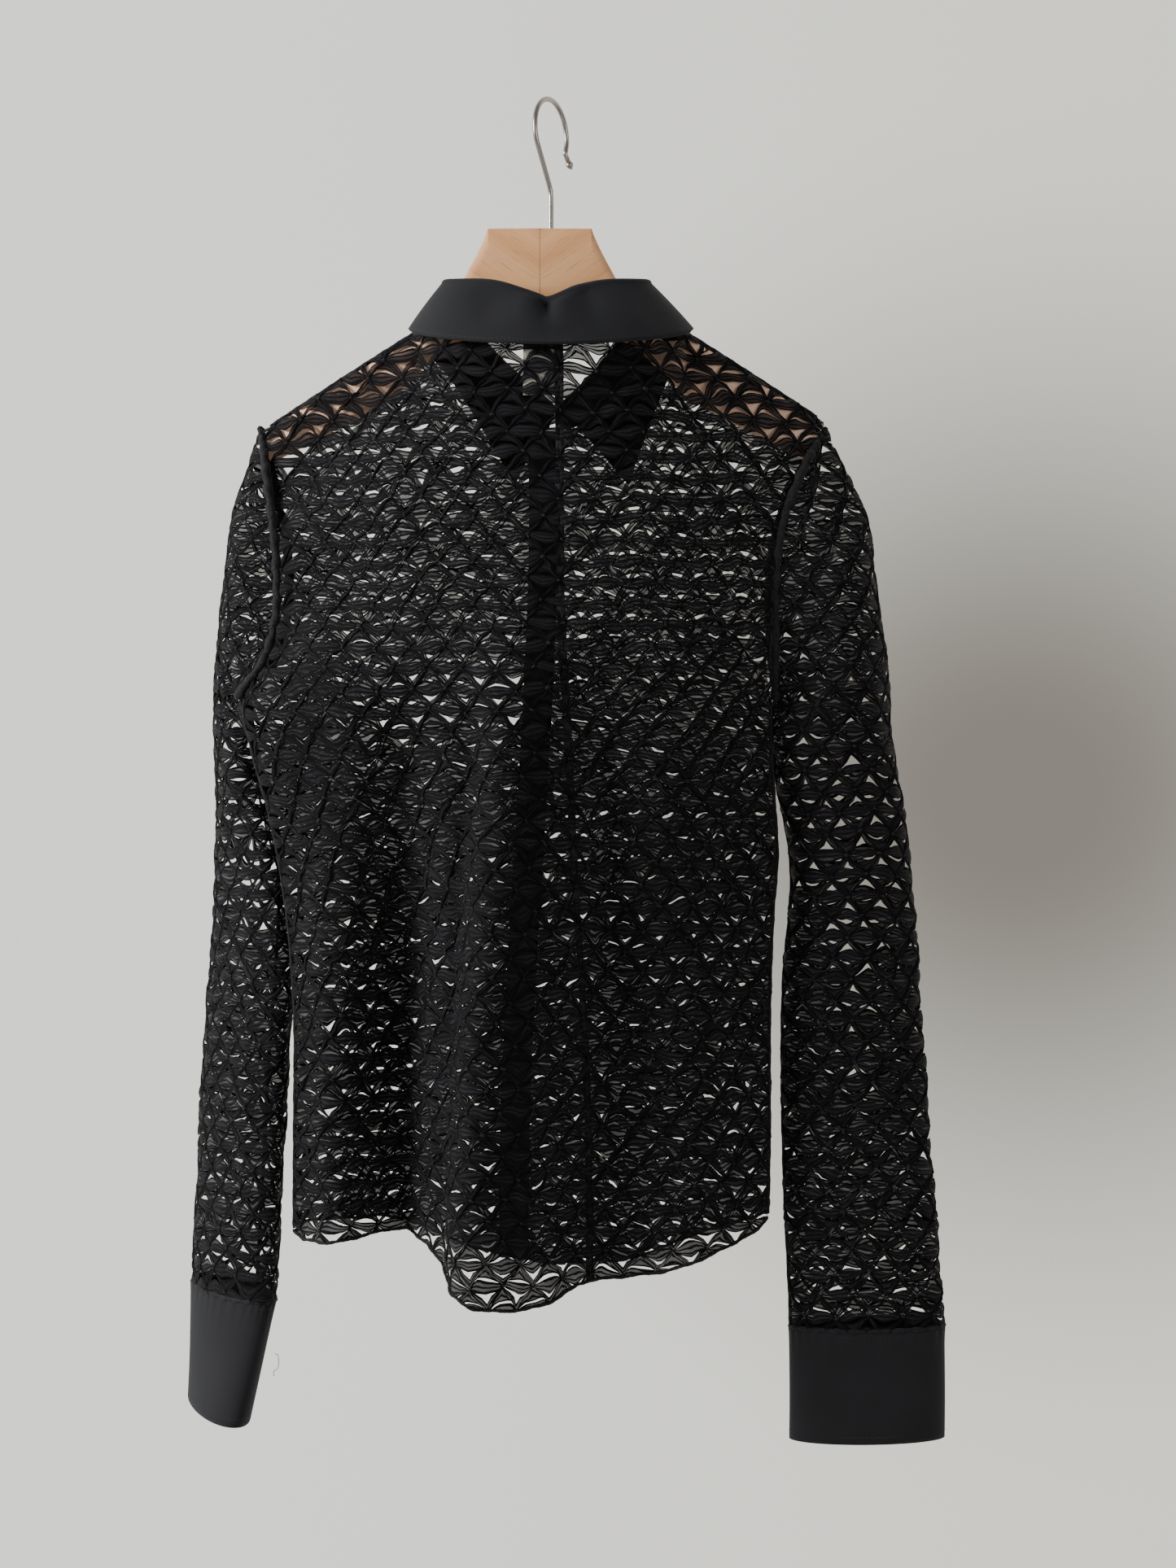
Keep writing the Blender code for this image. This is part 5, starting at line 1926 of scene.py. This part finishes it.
@dataclass
class Buttons:
    """Round four-hole buttons, sewn on with crossed thread."""

    form: ClothMap
    sides: int = 28
    hole: float = 0.75
    spread: float = 1.3
    hole_half: tuple[float, float] = (0.7, 7.6)

    def disc(self, material: Material) -> Mesh:
        """Build one button at the origin, facing +Z, in metres."""
        profile = (
            (0.0, -BUTTON_HALF), (BUTTON_RADIUS - 0.7, -BUTTON_HALF),
            (BUTTON_RADIUS, -0.5), (BUTTON_RADIUS, 0.5),
            (BUTTON_RADIUS - 0.3, BUTTON_HALF - 0.1), (BUTTON_RADIUS - 0.8, BUTTON_HALF),
            (BUTTON_RADIUS - 1.4, BUTTON_HALF - 0.15), (BUTTON_RADIUS - 2.1, BUTTON_HALF - 0.55),
            (0.0, BUTTON_HALF - 0.7),
        )
        mesh = bmesh.new()
        verts = [mesh.verts.new((r * MM, 0, z * MM)) for r, z in profile]
        for a, b in zip(verts, verts[1:]):
            mesh.edges.new((a, b))
        bmesh.ops.spin(
            mesh, geom=mesh.verts[:] + mesh.edges[:], cent=(0, 0, 0), axis=(0, 0, 1),
            angle=2 * math.pi, steps=self.sides, use_merge=True,
        )
        bmesh.ops.remove_doubles(mesh, verts=mesh.verts[:], dist=1e-6)
        bmesh.ops.recalc_face_normals(mesh, faces=mesh.faces[:])
        item = to_object(mesh, "button_blank", material)
        holes = bmesh.new()
        for k in range(4):
            turn = math.pi / 4 + k * math.pi / 2
            made = bmesh.ops.create_cone(
                holes, cap_ends=True, segments=10,
                radius1=self.hole * MM, radius2=self.hole * MM, depth=8 * MM,
            )
            step = Vector((math.cos(turn), math.sin(turn), 0)) * self.spread * math.sqrt(2) * 0.8 * MM
            bmesh.ops.translate(holes, verts=made["verts"], vec=step)
        cutter = to_object(holes, "button_holes", material)
        cut = item.modifiers.new("Holes", "BOOLEAN")
        cut.operation = "DIFFERENCE"
        cut.object = cutter
        data = finished(item, "button_disc")
        bpy.data.objects.remove(cutter)
        return data

    def thread(self) -> Mesh:
        """Build the crossed thread of one button."""
        mesh = bmesh.new()
        reach = self.spread * 0.8
        for turn in (math.pi / 4, -math.pi / 4):
            for off in (-0.22, 0.22):
                made = bmesh.ops.create_uvsphere(mesh, u_segments=8, v_segments=6, radius=1.0)
                for vert in made["verts"]:
                    x, y, z = vert.co
                    along, across = x * reach * 1.5, y * 0.24 + off
                    rise = BUTTON_HALF - 0.45 + z * 0.24 - 0.35 * x * x
                    vert.co = Vector((
                        along * math.cos(turn) - across * math.sin(turn),
                        along * math.sin(turn) + across * math.cos(turn), rise,
                    )) * MM
        data = bpy.data.meshes.new("button_thread")
        mesh.to_mesh(data)
        mesh.free()
        return data

    def build(self, material: Material, thread: Material) -> None:
        """Build a button for every node, turned to the cloth under it."""
        disc, cross = self.disc(material), self.thread()
        for number in range(1, len(BUTTON_HEIGHTS) + 1):
            low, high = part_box(f"button_{number}")
            middle = (low + high) / 2
            s = np.array([0.0])
            facing = Vector(self.form.read(self.form.normals, s, np.array([-middle.z / MM]))[0])
            self.place(f"button_{number}", f"shirt_button_{number}", middle, facing, disc, cross, thread)
        for hand in Hand:
            side = hand.name.lower()
            low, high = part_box(f"button_cuff_{side}")
            middle = (low + high) / 2
            facing = self.cuff_facing(hand, low, high)
            self.place(f"button_cuff_{side}", f"cuff_button_{side}", middle, facing, disc, cross, thread)

    def buttonholes(self, material: Material) -> None:
        """Sew an upright buttonhole round each front button's place."""
        turn = np.linspace(0, 2 * math.pi, 28, endpoint=False)
        for number, height in enumerate(BUTTON_HEIGHTS, 1):
            s = self.hole_half[0] * np.cos(turn)
            fall = -height + self.hole_half[1] * np.sin(turn)
            path = self.form.place(s, fall, np.full(28, BAND_STEP + 0.95))
            size = 0.42 * lumps(28, 0.2, number)
            item = tube(f"buttonhole_{number}", path, size, material, sides=1, closed=True)
            settle(item, "cotton")

    def cuff_facing(self, hand: Hand, low: Vector, high: Vector) -> Vector:
        """Return the way that a cuff's button faces, by its seat on the lapped end."""
        last = CUFF_START + 2 * math.pi + CUFF_LAP
        cuff = Cuff(hand)
        seat = cuff.point(last - 0.16, CUFF_HEIGHT / 2, CUFF_STEP)
        return ((low + high) / 2 / MM - Vector(seat)).normalized()

    def place(
        self, node: str, name: str, middle: Vector, facing: Vector, disc: Mesh,
        cross: Mesh, thread: Material,
    ) -> None:
        """Place a copy of the button and its thread."""
        turn = Vector((0, 0, 1)).rotation_difference(facing).to_matrix().to_4x4()
        turn.translation = middle
        for source, label, nodes in ((disc, name, [node]), (cross, f"{name}_thread", [])):
            data = source.copy()
            data.transform(turn)
            item = link_mesh(label, data, [] if source is disc else [thread])
            settle(item, "buttons", *nodes)


class WoodFoot(NamedTuple):
    """A place on the wood's lower edge, on either side of its middle."""

    far: float
    z: float


WOOD_FEET = (
    WoodFoot(0, -155),
    WoodFoot(40, -157),
    WoodFoot(62, -162),
    WoodFoot(80, -179),
    WoodFoot(101, -199),
    WoodFoot(140, -219),
    WoodFoot(177, -236),
    WoodFoot(190, -242),
)


def wood_section(x: float) -> tuple[float, float, float]:
    """Return the top, bottom and half thickness of the hanger's body at x from its middle."""
    far = abs(x)
    if far <= BLOCK_HALF:
        top = BLOCK_TOP
    elif far <= BLOCK_FOOT:
        share = (far - BLOCK_HALF) / (BLOCK_FOOT - BLOCK_HALF)
        top = BLOCK_TOP + (BLOCK_FOOT_Z - BLOCK_TOP) * share**0.85
    else:
        share = min((far - BLOCK_FOOT) / (ARM_START - BLOCK_FOOT), 1.0)
        foot = float(shoulder_z(x + WOOD_X)) - WOOD_CLEAR
        foot -= 3.5 * (1 - float(smooth(ARM_START, ARM_START + 28, far)))
        top = BLOCK_FOOT_Z + (foot - BLOCK_FOOT_Z) * share**0.75
    bottom = float(np.interp(far, [row.far for row in WOOD_FEET], [row.z for row in WOOD_FEET]))
    return top, bottom, WOOD_HALF


@dataclass
class Hanger:
    """The beech body and the steel hook of the hanger."""

    sides: int = 32
    corner: float = 3.2

    def build(self, beech: Material, steel: Material) -> None:
        """Build both."""
        self.body(beech)
        self.hook(steel)

    def stations(self) -> list[float]:
        """Return where the body's sections stand, closer at its corners and tips."""
        half = list(np.linspace(0, 33, 9)) + [34.2, 35, 35.8, 37, 39, 42, 45, 49, 52, 56, 62, 70, 77, 84, 91]
        half += list(np.linspace(98, 178, 24)) + [181, 184, 186.5, 188.3, 189.5, ARM_REACH]
        return [-x for x in reversed(half[1:])] + half

    def body(self, material: Material) -> Piece:
        """Build the wooden body from rounded sections along its length."""
        mesh = bmesh.new()
        loops = []
        for x in self.stations():
            top, bottom, thick = wood_section(x)
            tip = math.sqrt(max(1 - max((abs(x) - TIP_START) / TIP_ROUND, 0) ** 2, 0.02))
            middle, tall = (top + bottom) / 2, (top - bottom) / 2
            if abs(x) > TIP_START:
                tall = tall * (0.62 + 0.38 * tip)
                middle = top - tall - (1 - tip) * 5
                thick = thick * (0.45 + 0.55 * tip)
            made = bmesh.ops.create_circle(mesh, segments=self.sides, radius=1.0)
            forward = ARM_FORWARD * (abs(x) / ARM_REACH) ** 2
            for vert in made["verts"]:
                turn = math.atan2(vert.co.y, vert.co.x)
                in_block = 1 - float(smooth(BLOCK_FOOT - 4, BLOCK_FOOT + 14, abs(x)))
                y, z = self.rounded(turn, thick, tall, thick + (self.corner - thick) * in_block)
                vert.co = Vector((x + WOOD_X, forward + y, middle + z)) * MM
            loops.append(sorted({e for v in made["verts"] for e in v.link_edges}, key=lambda e: e.index))
        mesh.edges.index_update()
        for one, two in zip(loops, loops[1:]):
            bmesh.ops.bridge_loops(mesh, edges=one + two)
        bmesh.ops.holes_fill(mesh, edges=loops[0] + loops[-1], sides=0)
        bmesh.ops.recalc_face_normals(mesh, faces=mesh.faces[:])
        return settle(to_object(mesh, "hanger_body", material), "beech", "hanger_wood")

    def rounded(self, turn: float, thick: float, tall: float, corner: float) -> tuple[float, float]:
        """Return a point of a rounded rectangle's outline.

        Args:
            turn: The point's angle.
            thick: Half of the outline's width.
            tall: Half of its height.
            corner: Radius of its corners.

        Returns:
            The point's place across and up.
        """
        c, s = math.cos(turn), math.sin(turn)
        return (
            c * corner + math.copysign(thick - corner, c) * min(1.0, abs(c) * 3.0),
            s * corner + math.copysign(tall - corner, s) * min(1.0, abs(s) * 3.0),
        )

    def hook(self, material: Material) -> Piece:
        """Build the hook: stem, bend, round crook and a ball at its free end."""
        centre_z = WIRE_RADIUS - HOOK_RADIUS
        flat = [
            (0.0, BLOCK_TOP - STEM_DEPTH), (0.0, BLOCK_TOP), (0.0, -70.0),
            (0.0, -64.0), (-0.5, -60.0), (-2.2, -56.5),
        ]
        for degrees in range(215, -26, -4):
            turn = math.radians(degrees)
            flat.append((HOOK_RADIUS * math.cos(turn), centre_z + HOOK_RADIUS * math.sin(turn)))
        end = np.array(flat[-1])
        ahead = np.array([0.55 + 0.42, -0.91])
        ahead = ahead / np.linalg.norm(ahead)
        radii = [WIRE_RADIUS] * len(flat)
        flat.append(tuple(end + ahead * 6.4))
        radii.append(WIRE_RADIUS)
        for degrees in range(138, 0, -12):
            turn = math.radians(degrees)
            flat.append(tuple(end + ahead * (8.8 - HOOK_BALL * math.cos(turn))))
            radii.append(max(HOOK_BALL * math.sin(turn), 0.3))
        away = (math.sin(HOOK_TURN), math.cos(HOOK_TURN))
        path = np.array([(u * away[0], u * away[1], z) for u, z in flat])
        item = tube("hanger_wire", path, np.array(radii), material, sides=6)
        return settle(item, "steel", "hanger_hook")


class Lamp(NamedTuple):
    """A square lamp, aimed at the middle of the shirt."""

    name: str
    place: tuple[float, float, float]
    size: float
    power: float


@dataclass
class Studio:
    """Plain soft light, a pale floor and the camera at the photograph's angle.

    Attributes:
        lens: Focal length of the camera in millimetres.
        eye: Place of the camera, in metres as all places here.
        aim: Point that the lamps face.
        floor_radius: Radius of the floor.
        floor_z: Its height.
        floor_colour: Its colour.
        ground: Colours of the bright ground behind the shirt, at its left and right.
        dim: Colour of the ground where it is in soft shade.
        room: Colour of the light from the other sides.
        lamps: The lamps. The ground, the shade and the lamps were given one by one.
    """

    lens: float = 51.0
    eye: tuple[float, float, float] = (0.025, -1.5, -0.46)
    aim: tuple[float, float, float] = (0.0, 0.0, -0.45)
    floor_radius: float = 1.9
    floor_z: float = -1.7
    floor_colour: tuple[float, float, float] = (0.6, 0.59, 0.56)
    ground: tuple[tuple[float, float, float], ...] = ((1.26, 1.26, 1.18), (1.12, 1.1, 1.0))
    dim: tuple[float, float, float] = (0.27, 0.25, 0.215)
    room: tuple[float, float, float] = (0.27, 0.275, 0.29)
    lamps: tuple[Lamp, ...] = (
        Lamp("key", (-2.0, -0.85, 0.35), 0.9, 78.0),
        Lamp("fill", (1.5, -1.7, -0.2), 1.2, 11.0),
    )

    def build(self) -> None:
        """Build all of it."""
        self.add_camera()
        self.add_floor()
        self.add_light()

    def add_camera(self) -> None:
        """Look straight at the back of the shirt."""
        data = bpy.data.cameras.new("camera")
        data.lens = self.lens
        data.sensor_width = 36.0
        camera = bpy.data.objects.new("camera", data)
        camera.location = self.eye
        camera.rotation_euler = (math.pi / 2, 0, 0)
        bpy.context.scene.collection.objects.link(camera)
        bpy.context.scene.camera = camera

    def add_floor(self) -> None:
        """Lay a round pale floor."""
        mesh = bmesh.new()
        bmesh.ops.create_circle(mesh, cap_ends=True, segments=64, radius=self.floor_radius)
        bmesh.ops.translate(mesh, verts=mesh.verts[:], vec=(0, 0, self.floor_z))
        data = bpy.data.meshes.new("floor")
        mesh.to_mesh(data)
        mesh.free()
        material, _, surface = new_material("floor")
        dress(surface, {"Base Color": (*self.floor_colour, 1), "Roughness": 0.9})
        link_mesh("floor", data, [material])

    def add_light(self) -> None:
        """Light the shirt softly: a bright ground behind it, and a key light from the left."""
        world = bpy.data.worlds.new("room")
        world.use_nodes = True
        tree = world.node_tree
        place = tree.nodes.new("ShaderNodeTexCoord")
        split = tree.nodes.new("ShaderNodeSeparateXYZ")
        tree.links.new(place.outputs["Generated"], split.inputs[0])
        share = ramp(tree, split.outputs["X"], -0.22, 0.30)
        ground = mix_colour(tree, share, *self.ground)
        off_x = math_node(tree, "MULTIPLY_ADD", split.outputs["X"], 4.6, -0.87)
        off_z = math_node(tree, "MULTIPLY_ADD", split.outputs["Z"], 4.9, 0.02)
        off = math_node(tree, "SQRT", plus(tree, times(tree, off_x, off_x), times(tree, off_z, off_z)
        ))
        ground = mix_colour(tree, ramp(tree, off, 0.1, 1.5), self.dim, ground)
        ahead = ramp(tree, split.outputs["Y"], -0.35, 0.6)
        colour = mix_colour(tree, ahead, self.room, ground)
        tree.links.new(colour, tree.nodes["Background"].inputs["Color"])
        bpy.context.scene.world = world
        for lamp in self.lamps:
            data = bpy.data.lights.new(lamp.name, "AREA")
            data.size = lamp.size
            data.energy = lamp.power
            item = bpy.data.objects.new(lamp.name, data)
            item.location = lamp.place
            ahead = Vector(self.aim) - Vector(lamp.place)
            item.rotation_euler = ahead.to_track_quat("-Z", "Y").to_euler()
            bpy.context.scene.collection.objects.link(item)


def loose_thread(material: Material) -> Piece:
    """Build a cut end of thread that hangs beside the left cuff."""
    along = np.linspace(0, 1, 24)
    start = np.array(THREAD_START)
    path = start + np.stack([
        2.2 * np.sin(along * 5.0) + 1.5 * along, -1.5 * along, -16.0 * along + 1.6 * np.sin(along * 9.0),
    ], axis=1)
    return tube("loose_thread", path, 0.22, material, sides=1)


def main() -> None:
    """Build every sub-assembly in order."""
    logging.basicConfig(level=logging.INFO, format="%(message)s")
    Studio().build()
    organdy = OrgandyFinish()
    materials = [organdy.sheer(), organdy.corded()]
    tile = LaceTile()
    back, front = body_map(Side.BACK), body_map(Side.FRONT)
    half = BAND_WIDTH / 2 + SEAM_GAP / 2
    gap = SEAM_GAP / 2
    sleeves = {hand: sleeve_map(hand) for hand in Hand}
    panels = (
        LacePanel("back_left", back, -999.0, -gap),
        LacePanel("back_right", back, gap, 999.0),
        LacePanel("front_left", front, -999.0, -half, 6.0, 9.0, 1.0),
        LacePanel("front_right", front, half, 999.0, 17.0, 5.0, 2.0),
        LacePanel("sleeve_left", sleeves[Hand.LEFT], -999.0, 999.0, 3.0, 4.0, 3.0, True),
        LacePanel("sleeve_right", sleeves[Hand.RIGHT], -999.0, 999.0, 8.0, 11.0, 4.0, True),
    )
    for panel in panels:
        panel.build(tile, materials)
    cotton = CottonFinish().build()
    thread = ThreadFinish().build()
    stitches = Stitches()
    Collar().build(cotton, stitches)
    for hand in Hand:
        Cuff(hand).build(cotton, stitches)
    FrontBand(front).build(cotton, stitches)
    settle(stitches.build("topstitching", thread), "cotton")
    Label(back).build(RibbonFinish().build())
    Seams(back, front, sleeves).build(materials[1])
    buttons = Buttons(front)
    buttons.build(ButtonFinish().build(), thread)
    buttons.buttonholes(thread)
    settle(loose_thread(thread), "cotton")
    Hanger().build(BeechFinish().build(), SteelFinish().build())


if __name__ == "__main__":
    main()
